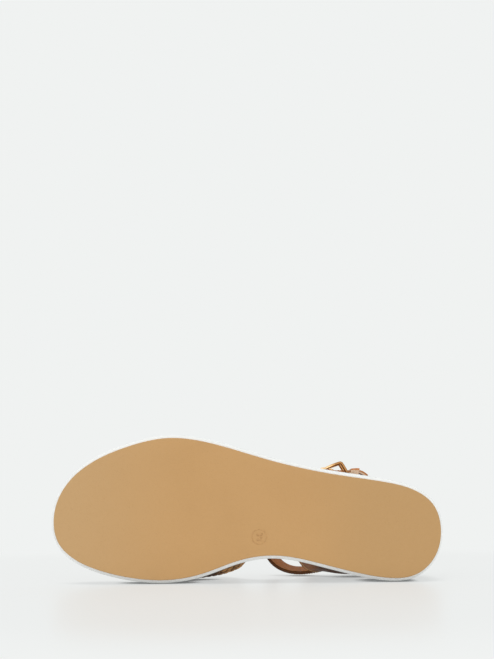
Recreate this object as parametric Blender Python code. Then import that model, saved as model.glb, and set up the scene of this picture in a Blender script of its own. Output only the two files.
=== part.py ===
"""Platform sandal for the left foot, lying on its inner side.

The sandal is modelled standing, in millimetres: "along" runs from the back of the heel to the toe,
"across" is positive towards the inner side of the foot, and "up" is the height over the tread. An empty
then lays the whole sandal on its inner side, with the tread facing -Y, the toe at -X and the outer side
of the foot at +Z.
"""

import math
from collections import namedtuple

import bmesh
import bpy
import numpy as np

MM = 0.001
SHARP_ANGLE = 38.0
PROBE_STEP = 0.5

# Driving sizes of the sole, in millimetres
SOLE_LENGTH = 250.0
BALL_WIDTH = 91.0
OUTSOLE_THICK = 3.5
OUTSOLE_EDGE = 0.7
FOREFOOT_HEIGHT = 26.0
HEEL_HEIGHT = 36.0
HEEL_FLAT_END = 62.0
FOREFOOT_FLAT_START = 158.0
TOE_SPRING = 5.0
TOE_SPRING_START = 186.0
TOE_SPRING_ON_TOP = 0.8
SIDE_OUTSET = 2.4
INSOLE_THICK = 3.5
INSOLE_EDGE = 1.0
INSOLE_INSET = 4.4
FIT_GAP = 0.3

# The straps stand on the rim of the platform, beside the insole
STRAP_INSET = 3.3
QUARTER_WALL = 2.2
WEAVE_WALL = 2.2
WEAVE_RELIEF = 0.45

# Share of the ball width from the foot's middle line to the sole's widest inner line, on which it lies
INNER_SHARE = 0.335

# Outline of the tread, in shares of the sole's length from the heel and of the ball width
OutlinePoint = namedtuple("OutlinePoint", "place along across")
OUTLINE = [
    OutlinePoint("heel back", 0.000, 0.002),
    OutlinePoint("heel inner corner", 0.013, 0.169),
    OutlinePoint("heel inner rear", 0.068, 0.313),
    OutlinePoint("heel inner", 0.126, INNER_SHARE),
    OutlinePoint("heel inner front", 0.200, 0.306),
    OutlinePoint("waist inner rear", 0.299, 0.239),
    OutlinePoint("waist inner", 0.432, 0.171),
    OutlinePoint("waist inner front", 0.530, 0.212),
    OutlinePoint("ball inner rear", 0.607, 0.287),
    OutlinePoint("ball inner", 0.702, INNER_SHARE),
    OutlinePoint("toe inner rear", 0.799, 0.318),
    OutlinePoint("toe inner", 0.877, 0.268),
    OutlinePoint("toe inner corner", 0.960, 0.157),
    OutlinePoint("toe inner tip", 0.986, 0.078),
    OutlinePoint("toe tip", 1.000, -0.081),
    OutlinePoint("toe outer tip", 0.988, -0.238),
    OutlinePoint("toe outer corner", 0.956, -0.373),
    OutlinePoint("toe outer", 0.878, -0.527),
    OutlinePoint("ball outer front", 0.800, -0.610),
    OutlinePoint("ball outer", 0.705, -0.662),
    OutlinePoint("ball outer rear", 0.605, -0.632),
    OutlinePoint("waist outer", 0.450, -0.508),
    OutlinePoint("heel outer front", 0.256, -0.388),
    OutlinePoint("heel outer", 0.140, -0.337),
    OutlinePoint("heel outer rear", 0.063, -0.275),
    OutlinePoint("heel outer corner", 0.016, -0.168),
]
CURVE_SAMPLES = 720
SIDE_POINTS = 40

# Side wall of the platform: share of its height and how far it stands out from the tread
SideRow = namedtuple("SideRow", "place share outset")
SIDE_PROFILE = [
    SideRow("foot", 0.00, 1.0),
    SideRow("lower round", 0.12, 1.9),
    SideRow("lower belly", 0.34, SIDE_OUTSET),
    SideRow("groove lower lip", 0.44, SIDE_OUTSET),
    SideRow("groove", 0.475, 1.5),
    SideRow("groove upper lip", 0.51, SIDE_OUTSET),
    SideRow("upper belly", 0.80, SIDE_OUTSET),
    SideRow("upper round", 0.94, 1.7),
    SideRow("rim", 1.00, 0.4),
]

# Woven front strap: where its edges lie along the foot, at the inner base, the crown and the outer base
StrapEdge = namedtuple("StrapEdge", "place rear front")
FRONT_STRAP_EDGES = [
    StrapEdge("inner base", 123.0, 184.0),
    StrapEdge("crown", 136.0, 190.0),
    StrapEdge("outer base", 116.0, 172.0),
]
# Height of the strap's crown over the platform's rim, and how far its inner side swells out, along the sole
FrontRow = namedtuple("FrontRow", "along height inner_reach")
FRONT_STRAP_FORM = [
    FrontRow(112.0, 58.0, 19.0),
    FrontRow(125.0, 55.0, 22.0),
    FrontRow(132.0, 52.5, 25.8),
    FrontRow(140.0, 49.5, 28.7),
    FrontRow(155.0, 44.0, 31.2),
    FrontRow(170.0, 39.5, 32.6),
    FrontRow(195.0, 32.0, 31.4),
]
CROWN_SHIFT = 5.0
SWELL_HEIGHT = 15.0
SWELL_OUTER = 1.0
SWELL_LEAST = 0.5
WEAVE_ROWS = 46
WEAVE_COLUMNS = 15

# Ring of heel, ankle and instep that the quarter and its strap follow, at the reference height
RingPoint = namedtuple("RingPoint", "place along across")
RING_PLAN = [
    RingPoint("heel back", 8.5, 0.0),
    RingPoint("heel inner", 24.0, 19.5),
    RingPoint("ankle inner", 50.0, 28.8),
    RingPoint("joint inner", 71.0, 27.9),
    RingPoint("widest inner", 84.5, 29.7),
    RingPoint("instep inner", 107.7, 25.8),
    RingPoint("instep inner front", 119.5, 13.5),
    RingPoint("instep front", 122.5, -5.0),
    RingPoint("instep outer front", 115.0, -24.0),
    RingPoint("instep outer", 100.0, -32.4),
    RingPoint("widest outer", 82.0, -34.6),
    RingPoint("buckle outer", 59.0, -35.4),
    RingPoint("free end outer", 45.0, -32.2),
    RingPoint("heel outer", 24.0, -21.8),
]
RING_UP = 64.5
INNER_LEAN = 0.135
OUTER_LEAN = 0.03
INSTEP_LEAN = 0.70
LEAN_POWER = 1.55
LEAN_EASE = 6.0
HEEL_SWELL = 1.5
SWELL_EASE = 18.0
INNER_EDGE_BASE = 91.0
INNER_EDGE_RING = 72.0
OUTER_EDGE_BASE = 70.0
OUTER_EDGE_RING = 50.9
SLANT_POWER = 2.0

# Edges of the quarter and of the instep strap, from the outer wing round the heel and over the instep to
# the tip: a place on the ring, the lower and upper edge, and the lift off the foot. The quarter stands on
# the rim.
RIM = None
INNER, FRONT, OUTER, OUTER_AGAIN = "inner", "front", "outer", "outer again"
BandRow = namedtuple("BandRow", "place side along low high lift")
BAND = [
    BandRow("outer wing edge", OUTER, OUTER_EDGE_RING, RIM, 88.5, -1.1),
    BandRow("outer ankle", OUTER, 34.0, RIM, 85.0, -0.9),
    BandRow("heel back", INNER, 8.5, RIM, 93.0, 0.0),
    BandRow("inner ankle", INNER, 42.0, RIM, 84.0, 0.0),
    BandRow("inner wing edge", INNER, INNER_EDGE_RING, RIM, 81.5, 0.0),
    BandRow("inner strap", INNER, 80.0, 63.0, 82.0, 0.0),
    BandRow("inner widest", INNER, 90.0, 65.0, 84.0, 0.0),
    BandRow("instep inner", INNER, 106.0, 70.0, 90.0, 0.0),
    BandRow("instep", FRONT, None, 82.0, 99.0, 0.0),
    BandRow("instep outer", OUTER_AGAIN, 110.0, 82.0, 97.5, 0.0),
    BandRow("outer side", OUTER_AGAIN, 92.0, 77.5, 92.0, 0.0),
    BandRow("buckle nose", OUTER_AGAIN, 73.0, 74.3, 88.3, 0.2),
    BandRow("buckle middle", OUTER_AGAIN, 64.0, 74.0, 88.0, 1.4),
    BandRow("buckle bar", OUTER_AGAIN, 54.5, 73.8, 87.8, 2.6),
    BandRow("free end", OUTER_AGAIN, 46.0, 73.5, 87.5, 4.7),
    BandRow("tip", OUTER_AGAIN, 41.4, 73.2, 87.2, 3.4),
]
QUARTER_STEPS = 40
SWEEP_STEPS = 8
STRAP_STEPS = 56
TIP_STEPS = 8
BAND_ROWS = 6
TIP_LENGTH = 8.0
TIP_FLAT = 0.25
EDGE_SWEEP = 4.0
SWEEP_POWER = 1.6

# Buckle on the outer side: its bow stands out from the strap, and its bar lies before the wing's edge
BUCKLE_NOSE_ALONG = 72.2
BUCKLE_BAR_ALONG = 53.4
BUCKLE_UP = 81.0
BUCKLE_HALF_WIDTH = 10.0
BUCKLE_CORNER = 3.0
BUCKLE_WIRE = 1.1
BUCKLE_BOW = 8.0
BUCKLE_BOW_PEAK = 0.66
BUCKLE_BOW_ROUND = 0.03
BUCKLE_CORNER_STEPS = 4
BUCKLE_PITCH = 2.6
WIRE_SIDES = 8
WIRE_SIDE_HINT = (0.3, 0.5, 0.8)

# Buckle pin: distance from the nose towards the bar, and distance off the foot
PRONG_WIRE = 0.75
PRONG_HOLE = 1.3
PRONG_POINT_SHARE = 0.6
PRONG_STEPS_PER_ROW = 3
ProngPoint = namedtuple("ProngPoint", "place run off")
PRONG_ROUTE = [
    ProngPoint("point", -0.2, 5.8),
    ProngPoint("nose", 1.6, 5.9),
    ProngPoint("over strap", 4.5, 5.3),
    ProngPoint("hole mouth", 7.0, 4.6),
    ProngPoint("in hole", 9.5, 3.1),
    ProngPoint("under strap", 12.5, 0.8),
    ProngPoint("root", 16.4, 0.1),
]
HOLE_FIRST = 2

# Folded tab round the buckle's bar, and the keeper over the strap's free end
TAB_THICK = 0.8
TAB_HALF_WIDTH = 5.5
TAB_LEG = 7.5
TAB_ARC_STEPS = 8
TAB_LEG_STEPS = 4
TAB_WIDTH_STEPS = 3
KEEPER_ALONG = 50.4
KEEPER_WIDTH = 5.5
KEEPER_THICK = 1.0
KEEPER_HALF_SPAN = 7.6
KEEPER_CORNER = 1.2
KEEPER_CORNER_STEPS = 3
KEEPER_WIDTH_STEPS = 2
KEEPER_ROOF_SHARE = 1.0 / 3.0

# Colours as red, green, blue, with roughness and metallic values
Finish = namedtuple("Finish", "colour roughness metallic")
TAN_RUBBER = Finish((0.58, 0.36, 0.16), 0.60, 0.0)
WHITE_FOAM = Finish((0.86, 0.86, 0.84), 0.55, 0.0)
BROWN_LEATHER = Finish((0.26, 0.12, 0.055), 0.50, 0.0)
FOOTBED_LEATHER = Finish((0.42, 0.22, 0.10), 0.60, 0.0)
GOLD_METAL = Finish((0.78, 0.52, 0.24), 0.25, 1.0)


def smoothstep(value):
    """Ease from 0 to 1 as the value runs from 0 to 1."""
    t = np.clip(value, 0.0, 1.0)
    return t * t * (3.0 - 2.0 * t)


def closed_spline(points, samples):
    """Samples of the periodic cubic spline through the points, starting at the first."""
    points = np.asarray(points, float)
    step = np.linalg.norm(np.roll(points, -1, axis=0) - points, axis=1)
    before = np.roll(step, 1)
    count = len(points)
    matrix = np.zeros((count, count))
    for i in range(count):
        matrix[i, i - 1] = before[i]
        matrix[i, i] = 2.0 * (before[i] + step[i])
        matrix[i, (i + 1) % count] = step[i]
    slope = (np.roll(points, -1, axis=0) - points) / step[:, None]
    bend = np.linalg.solve(matrix, 6.0 * (slope - np.roll(slope, 1, axis=0)))
    knots = np.concatenate([[0.0], np.cumsum(step)])
    where = np.linspace(0.0, knots[-1], samples, endpoint=False)
    piece = np.clip(np.searchsorted(knots, where, side="right") - 1, 0, count - 1)
    h = step[piece][:, None]
    right = (where - knots[piece])[:, None]
    left = h - right
    after = (piece + 1) % count
    cubic = (bend[piece] * left**3 + bend[after] * right**3) / (6.0 * h)
    start = (points[piece] / h - bend[piece] * h / 6.0) * left
    end = (points[after] / h - bend[after] * h / 6.0) * right
    return cubic + start + end


class PlanCurve:
    """A closed curve seen from above, walked by distance from the heel's back through the inner side."""

    def __init__(self, points):
        self.points = np.asarray(points, float)
        gaps = np.linalg.norm(np.roll(self.points, -1, axis=0) - self.points, axis=1)
        self.marks = np.concatenate([[0.0], np.cumsum(gaps)])
        self.length = self.marks[-1]
        self.looped = np.vstack([self.points, self.points[:1]])

    def at(self, distance):
        """Point (along, across) at a distance, or at each of several."""
        where = np.mod(distance, self.length)
        along = np.interp(where, self.marks, self.looped[:, 0])
        across = np.interp(where, self.marks, self.looped[:, 1])
        return np.stack([along, across], axis=-1)

    def outward(self):
        """Unit normals at the curve's own points, pointing out."""
        tangent = np.roll(self.points, -1, axis=0) - np.roll(self.points, 1, axis=0)
        normal = np.stack([-tangent[:, 1], tangent[:, 0]], axis=-1)
        return normal / np.linalg.norm(normal, axis=1)[:, None]

    def moved_out(self, distance):
        """The curve moved outwards, as another plan curve."""
        return PlanCurve(self.points + self.outward() * distance)

    def front(self):
        """Distance at which the curve reaches furthest forward."""
        return self.marks[int(np.argmax(self.points[:, 0]))]

    def inner_across(self, along):
        """Across value of the inner side at a place along the curve."""
        tip = int(np.argmax(self.points[:, 0]))
        side = self.points[: tip + 1]
        return np.interp(along, side[:, 0], side[:, 1])

    def outer_across(self, along):
        """Across value of the outer side at a place along the curve."""
        tip = int(np.argmax(self.points[:, 0]))
        side = self.looped[tip:][::-1]
        return np.interp(along, side[:, 0], side[:, 1])

    def inner_distance(self, along):
        """Distance from the heel's back to a place along the inner side."""
        tip = int(np.argmax(self.points[:, 0]))
        return np.interp(along, self.points[: tip + 1, 0], self.marks[: tip + 1])

    def outer_distance(self, along):
        """Distance, under zero, from the heel's back to a place along the outer side."""
        tip = int(np.argmax(self.points[:, 0]))
        side = self.looped[tip:][::-1]
        return np.interp(along, side[:, 0], self.marks[tip:][::-1]) - self.length


def tread_outline():
    """Plan curve of the tread's edge."""
    rows = [(row.along * SOLE_LENGTH, row.across * BALL_WIDTH) for row in OUTLINE]
    return PlanCurve(closed_spline(rows, CURVE_SAMPLES))


def ankle_ring():
    """Plan curve of the ring round heel, ankle and instep."""
    return PlanCurve(closed_spline([(row.along, row.across) for row in RING_PLAN], CURVE_SAMPLES))


TREAD = tread_outline()
STRAP_BASE = TREAD.moved_out(-STRAP_INSET)
RING = ankle_ring()


def turn_of(side, along):
    """Share of the way round the ring, from the heel's back through the inner side, of a place along it."""
    if side == FRONT:
        return RING.front() / RING.length
    if side == INNER:
        return RING.inner_distance(along) / RING.length
    turn = RING.outer_distance(along) / RING.length
    return turn + 1.0 if side == OUTER_AGAIN else turn


BAND_TURNS = np.array([turn_of(row.side, row.along) for row in BAND])
WING_EDGE_TURN = turn_of(INNER, INNER_EDGE_RING)
NOSE_TURN = turn_of(OUTER_AGAIN, BUCKLE_NOSE_ALONG)
BAR_TURN = turn_of(OUTER_AGAIN, BUCKLE_BAR_ALONG)
KEEPER_TURN = turn_of(OUTER_AGAIN, KEEPER_ALONG)


def toe_lift(along):
    """Rise of the tread over its flat plane, towards the toe."""
    t = np.clip((along - TOE_SPRING_START) / (SOLE_LENGTH - TOE_SPRING_START), 0.0, None)
    return TOE_SPRING * t * t


def platform_top(along):
    """Height of the platform's upper face, sloping down from heel to forefoot."""
    t = (FOREFOOT_FLAT_START - along) / (FOREFOOT_FLAT_START - HEEL_FLAT_END)
    slope = (HEEL_HEIGHT - FOREFOOT_HEIGHT) * smoothstep(t)
    return FOREFOOT_HEIGHT + slope + TOE_SPRING_ON_TOP * toe_lift(along)


def rim_up(along):
    """Height at which straps and insole rest on the platform."""
    return platform_top(along) + FIT_GAP


def side_ring(outset, level):
    """Closed loop of points on the tread outline moved out, at the heights that a function of along gives."""
    curve = TREAD.moved_out(outset)
    tip = curve.front()
    inner = np.linspace(0.0, tip, SIDE_POINTS, endpoint=False)
    outer = np.linspace(tip, curve.length, SIDE_POINTS, endpoint=False)
    plan = curve.at(np.concatenate([inner, outer]))
    return np.column_stack([plan, level(plan[:, 0])])


def to_shoe(points):
    """Blender coordinates, in metres, of points given as along, across and up in millimetres."""
    points = np.asarray(points, float)
    x = SOLE_LENGTH / 2.0 - points[..., 0]
    return np.stack([x, points[..., 1], points[..., 2]], axis=-1) * MM


def make_object(name, points, faces, finish, parent):
    """One named object with its material, its faces turned outwards."""
    mesh = bpy.data.meshes.new(name)
    mesh.from_pydata([tuple(p) for p in to_shoe(points)], [], faces)
    work = bmesh.new()
    work.from_mesh(mesh)
    bmesh.ops.recalc_face_normals(work, faces=work.faces)
    work.to_mesh(mesh)
    work.free()
    mesh.shade_smooth()
    mesh.set_sharp_from_angle(angle=math.radians(SHARP_ANGLE))
    material = bpy.data.materials.new(name)
    material.use_nodes = True
    shader = material.node_tree.nodes["Principled BSDF"]
    shader.inputs["Base Color"].default_value = (*finish.colour, 1.0)
    shader.inputs["Roughness"].default_value = finish.roughness
    shader.inputs["Metallic"].default_value = finish.metallic
    mesh.materials.append(material)
    piece = bpy.data.objects.new(name, mesh)
    bpy.context.scene.collection.objects.link(piece)
    piece.parent = parent
    return piece


def stack_of_rings(rings):
    """Points and faces of a solid between closed loops, with both ends filled straight across."""
    count = len(rings[0])
    half = count // 2
    faces = []
    for level in range(len(rings) - 1):
        for i in range(count):
            j = (i + 1) % count
            lower, upper = level * count, (level + 1) * count
            faces.append((lower + i, lower + j, upper + j, upper + i))
    for first in (0, (len(rings) - 1) * count):
        faces.append((first, first + 1, first + count - 1))
        for i in range(1, half - 1):
            faces.append((first + i, first + i + 1, first + count - i - 1, first + count - i))
        faces.append((first + half - 1, first + half, first + half + 1))
    return np.vstack(rings), faces


def wall_between(inner, outer):
    """Points and faces of a closed wall between two grids of points."""
    rows, columns = inner.shape[:2]
    offset = rows * columns
    faces = []
    for i in range(rows - 1):
        for j in range(columns - 1):
            a, b = i * columns + j, (i + 1) * columns + j
            faces.append((a, a + 1, b + 1, b))
            faces.append((offset + a, offset + b, offset + b + 1, offset + a + 1))
    border = [(i, 0) for i in range(rows)]
    border += [(rows - 1, j) for j in range(1, columns)]
    border += [(i, columns - 1) for i in range(rows - 2, -1, -1)]
    border += [(0, j) for j in range(columns - 2, 0, -1)]
    for (i, j), (k, m) in zip(border, border[1:] + border[:1]):
        a, b = i * columns + j, k * columns + m
        faces.append((a, b, offset + b, offset + a))
    return np.vstack([inner.reshape(-1, 3), outer.reshape(-1, 3)]), faces


def surface_normals(grid):
    """Unit normals of a grid of points."""
    down = np.gradient(grid, axis=0)
    right = np.gradient(grid, axis=1)
    normal = np.cross(down, right)
    return normal / np.linalg.norm(normal, axis=-1)[..., None]


def above_rim(grid):
    """The grid with its points kept off the platform's rim."""
    up = np.maximum(grid[..., 2], rim_up(grid[..., 0]))
    return np.concatenate([grid[..., :2], up[..., None]], axis=-1)


def smooth_table(where, places, values):
    """Values between the rows of a table, eased by a cubic through the rows."""
    slopes = np.gradient(values, places)
    piece = np.clip(np.searchsorted(places, where, side="right") - 1, 0, len(places) - 2)
    h = places[piece + 1] - places[piece]
    t = np.clip((where - places[piece]) / h, 0.0, 1.0)
    rise = (2 * t**3 - 3 * t**2 + 1) * values[piece] + (3 * t**2 - 2 * t**3) * values[piece + 1]
    ease = (t**3 - 2 * t**2 + t) * slopes[piece] + (t**3 - t**2) * slopes[piece + 1]
    return rise + h * ease


def make_outsole(parent):
    """Tan tread plate, flat from heel to ball, with a softened lower edge."""
    rings = [
        side_ring(-OUTSOLE_EDGE, toe_lift),
        side_ring(0.0, lambda along: toe_lift(along) + OUTSOLE_EDGE),
        side_ring(0.0, lambda along: toe_lift(along) + OUTSOLE_THICK),
    ]
    return make_object("outsole", *stack_of_rings(rings), TAN_RUBBER, parent)


def make_midsole(parent):
    """White platform block with a convex, grooved side wall."""
    rings = []
    for row in SIDE_PROFILE:

        def level(along, share=row.share):
            bottom = toe_lift(along) + OUTSOLE_THICK + FIT_GAP
            return bottom + share * (platform_top(along) - bottom)

        rings.append(side_ring(row.outset, level))
    return make_object("midsole", *stack_of_rings(rings), WHITE_FOAM, parent)


def make_insole(parent):
    """Footbed board inside the straps, with a rounded upper edge."""
    rings = [
        side_ring(-INSOLE_INSET, rim_up),
        side_ring(-INSOLE_INSET, lambda along: rim_up(along) + INSOLE_THICK - INSOLE_EDGE),
        side_ring(-INSOLE_INSET - INSOLE_EDGE, lambda along: rim_up(along) + INSOLE_THICK),
    ]
    return make_object("insole", *stack_of_rings(rings), FOOTBED_LEATHER, parent)


def front_strap_point(turn, edge):
    """Inner face of the front strap: turn runs from the inner base over the foot, edge from rear to front."""
    turns = np.array([0.0, 0.5, 1.0])
    rear = np.polyfit(turns, [row.rear for row in FRONT_STRAP_EDGES], 2)
    front = np.polyfit(turns, [row.front for row in FRONT_STRAP_EDGES], 2)
    along = (1.0 - edge) * np.polyval(rear, turn) + edge * np.polyval(front, turn)
    inner = STRAP_BASE.inner_across(along)
    outer = STRAP_BASE.outer_across(along)
    middle, half = (inner + outer) / 2.0, (inner - outer) / 2.0
    places = np.array([row.along for row in FRONT_STRAP_FORM])
    crown = smooth_table(along, places, np.array([row.height for row in FRONT_STRAP_FORM]))
    reach = smooth_table(along, places, np.array([row.inner_reach for row in FRONT_STRAP_FORM]))
    swell = np.maximum(reach - WEAVE_WALL - inner, SWELL_LEAST)
    start = -np.arccos(half / (half + swell))
    end = math.pi + np.arccos(half / (half + SWELL_OUTER))
    angle = start + turn * (end - start)
    on_inner = np.cos(angle) > 0.0
    width = half + np.where(on_inner, swell, SWELL_OUTER)
    low = np.where(on_inner, np.sin(-start), np.sin(end - math.pi))
    above = np.maximum(np.sin(angle), 0.0)
    below = np.minimum(np.sin(angle), 0.0) / low
    across = middle + width * np.cos(angle) + CROWN_SHIFT * above**2
    up = rim_up(along) + SWELL_HEIGHT * (1.0 + below) + (crown - SWELL_HEIGHT) * above
    return np.stack([along, across, up], axis=-1)


def make_front_strap(parent):
    """Woven band over the forefoot: one wall, its strips raised where they pass over."""
    turn, edge = np.meshgrid(
        np.linspace(0.0, 1.0, WEAVE_ROWS + 1), np.linspace(0.0, 1.0, WEAVE_COLUMNS + 1), indexing="ij"
    )
    inner = front_strap_point(turn, edge)
    normal = surface_normals(inner)
    row, column = np.indices(turn.shape)
    over = 1.0 - 2.0 * ((row + column) % 2)
    over[0, :] = over[-1, :] = 0.0
    outer = above_rim(inner + normal * (WEAVE_WALL + WEAVE_RELIEF * over)[..., None])
    return make_object("upper_front_strap", *wall_between(inner, outer), BROWN_LEATHER, parent)


def ankle_point(turn, up):
    """Foot surface at heel, ankle and instep, at a share of the way round the ring and a height."""
    distance = turn * RING.length
    inner_ratio = STRAP_BASE.inner_distance(INNER_EDGE_BASE) / RING.inner_distance(INNER_EDGE_RING)
    outer_ratio = STRAP_BASE.outer_distance(OUTER_EDGE_BASE) / RING.outer_distance(OUTER_EDGE_RING)
    base = STRAP_BASE.at(distance * np.where(distance > 0.0, inner_ratio, outer_ratio))
    ring = RING.at(distance)
    tangent = RING.at(distance + PROBE_STEP) - RING.at(distance - PROBE_STEP)
    outward = np.stack([-tangent[..., 1], tangent[..., 0]], axis=-1)
    outward = outward / np.linalg.norm(outward, axis=-1)[..., None]
    forward = np.maximum(outward[..., 0], 0.0)
    inner_share = smoothstep(0.5 + 0.5 * outward[..., 1])
    side_lean = OUTER_LEAN + (INNER_LEAN - OUTER_LEAN) * inner_share
    lean = side_lean + (INSTEP_LEAN - side_lean) * forward**LEAN_POWER
    over = up - RING_UP
    rise = 0.5 * (over + np.sqrt(over**2 + LEAN_EASE**2))
    ring = ring - outward * (lean * rise)[..., None]
    low = rim_up(base[..., 0])
    share = np.clip((up - low) / (RING_UP - low), 0.0, 1.0)
    inner_left = RING.inner_distance(INNER_EDGE_RING) - distance
    outer_left = distance - RING.outer_distance(OUTER_EDGE_RING)
    ease = smoothstep(np.minimum(inner_left, outer_left) / SWELL_EASE)
    swell = HEEL_SWELL * ease * np.sin(math.pi * share)
    blend = np.stack([share**SLANT_POWER, np.sin(share * math.pi / 2.0)], axis=-1)
    plan = base * (1.0 - blend) + ring * blend + outward * swell[..., None]
    return np.concatenate([plan, np.asarray(up, float)[..., None]], axis=-1)


def rim_at(turn):
    """Height of the rim under a place on the ring."""
    return ankle_point(turn, np.full_like(turn, 0.0))[..., 0]


def band_edges(turn):
    """Lower edge, upper edge and lift of the quarter and instep strap."""
    high = smooth_table(turn, BAND_TURNS, np.array([row.high for row in BAND]))
    lift = smooth_table(turn, BAND_TURNS, np.array([row.lift for row in BAND]))
    on_strap = np.array([row.low is not RIM for row in BAND])
    strap_low = np.array([row.low for row in BAND if row.low is not RIM])
    low = smooth_table(turn, BAND_TURNS[on_strap], strap_low)
    rim = rim_up(rim_at(turn))
    sweep = np.clip((turn - WING_EDGE_TURN) * RING.length / EDGE_SWEEP, 0.0, 1.0)
    low = low - (low - rim) * (1.0 - sweep) ** 3
    middle, half = (low + high) / 2.0, (high - low) / 2.0
    to_tip = np.clip((BAND_TURNS[-1] - turn) * RING.length / TIP_LENGTH, 0.0, 1.0)
    narrow = TIP_FLAT + (1.0 - TIP_FLAT) * np.sqrt(1.0 - (1.0 - to_tip) ** 2)
    return middle - half * narrow, middle + half * narrow, lift


def wing_lift(turn):
    """Lift of the outer wing, under the strap's second lap."""
    return band_edges(np.atleast_1d(turn) - 1.0)[2]


def band_grid(extra=0.0):
    """Grid of points on the quarter and instep strap, at a distance off its inner face."""
    first, last = BAND_TURNS[0], BAND_TURNS[-1]
    sweep_end = WING_EDGE_TURN + EDGE_SWEEP / RING.length
    tip_start = last - TIP_LENGTH / RING.length
    sweep = np.linspace(0.0, 1.0, SWEEP_STEPS, endpoint=False) ** SWEEP_POWER
    tip = np.sin(np.linspace(0.0, math.pi / 2.0, TIP_STEPS + 1))
    turns = np.concatenate(
        [
            np.linspace(first, WING_EDGE_TURN, QUARTER_STEPS, endpoint=False),
            WING_EDGE_TURN + (sweep_end - WING_EDGE_TURN) * sweep,
            np.linspace(sweep_end, tip_start, STRAP_STEPS, endpoint=False),
            tip_start + (last - tip_start) * tip,
        ]
    )
    low, high, lift = band_edges(turns)
    share = np.linspace(0.0, 1.0, BAND_ROWS + 1)
    up = low[:, None] + (high - low)[:, None] * share[None, :]
    turn = np.repeat(turns[:, None], BAND_ROWS + 1, axis=1)
    foot = ankle_point(turn, up)
    return above_rim(foot + band_normals(turn, up) * (lift[:, None] + extra)[..., None])


def band_normals(turn, up):
    """Outward normals of the foot surface."""
    round_step = PROBE_STEP / RING.length
    along_ring = ankle_point(turn + round_step, up) - ankle_point(turn - round_step, up)
    upward = ankle_point(turn, up + PROBE_STEP) - ankle_point(turn, up - PROBE_STEP)
    normal = np.cross(upward, along_ring)
    return normal / np.linalg.norm(normal, axis=-1)[..., None]


def off_foot(turn, up, off):
    """Point at a place round the ring, a height and a distance off the foot."""
    turn, up, off = np.broadcast_arrays(*[np.asarray(value, float) for value in (turn, up, off)])
    return ankle_point(turn, up) + band_normals(turn, up) * off[..., None]


def make_quarter(parent, hole):
    """Heel counter with its wings; the inner wing runs on as the instep strap, holed for the buckle's pin."""
    points, faces = wall_between(band_grid(0.0), band_grid(QUARTER_WALL))
    quarter = make_object("upper_quarter", points, faces, BROWN_LEATHER, parent)
    cut = quarter.modifiers.new("pin hole", "BOOLEAN")
    cut.operation = "DIFFERENCE"
    cut.solver = "EXACT"
    cut.object = hole
    return quarter


def wire(path, radii, closed):
    """Points and faces of a round wire along a path."""
    path = np.asarray(path, float)
    if closed:
        tangent = np.roll(path, -1, axis=0) - np.roll(path, 1, axis=0)
    else:
        tangent = np.gradient(path, axis=0)
    tangent = tangent / np.linalg.norm(tangent, axis=1)[:, None]
    count = len(path)
    side = np.zeros_like(path)
    side[0] = np.cross(tangent[0], WIRE_SIDE_HINT)
    for i in range(count):
        if i:
            side[i] = side[i - 1]
        side[i] -= tangent[i] * np.dot(side[i], tangent[i])
        side[i] /= np.linalg.norm(side[i])
    other = np.cross(tangent, side)
    angles = np.linspace(0.0, 2.0 * math.pi, WIRE_SIDES, endpoint=False)
    rounds = side[:, None] * np.cos(angles)[None, :, None] + other[:, None] * np.sin(angles)[None, :, None]
    points = (path[:, None] + rounds * np.asarray(radii, float)[:, None, None]).reshape(-1, 3)
    faces = []
    for i in range(count if closed else count - 1):
        a, b = i * WIRE_SIDES, ((i + 1) % count) * WIRE_SIDES
        for k in range(WIRE_SIDES):
            m = (k + 1) % WIRE_SIDES
            faces.append((a + k, a + m, b + m, b + k))
    if not closed:
        faces.append(tuple(range(WIRE_SIDES)))
        faces.append(tuple(range((count - 1) * WIRE_SIDES, count * WIRE_SIDES)))
    return points, faces


def bar_off():
    """Distance off the foot of the buckle's bar, in line with the outer wing's wall."""
    return wing_lift(BAR_TURN)[0] + QUARTER_WALL / 2.0


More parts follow.
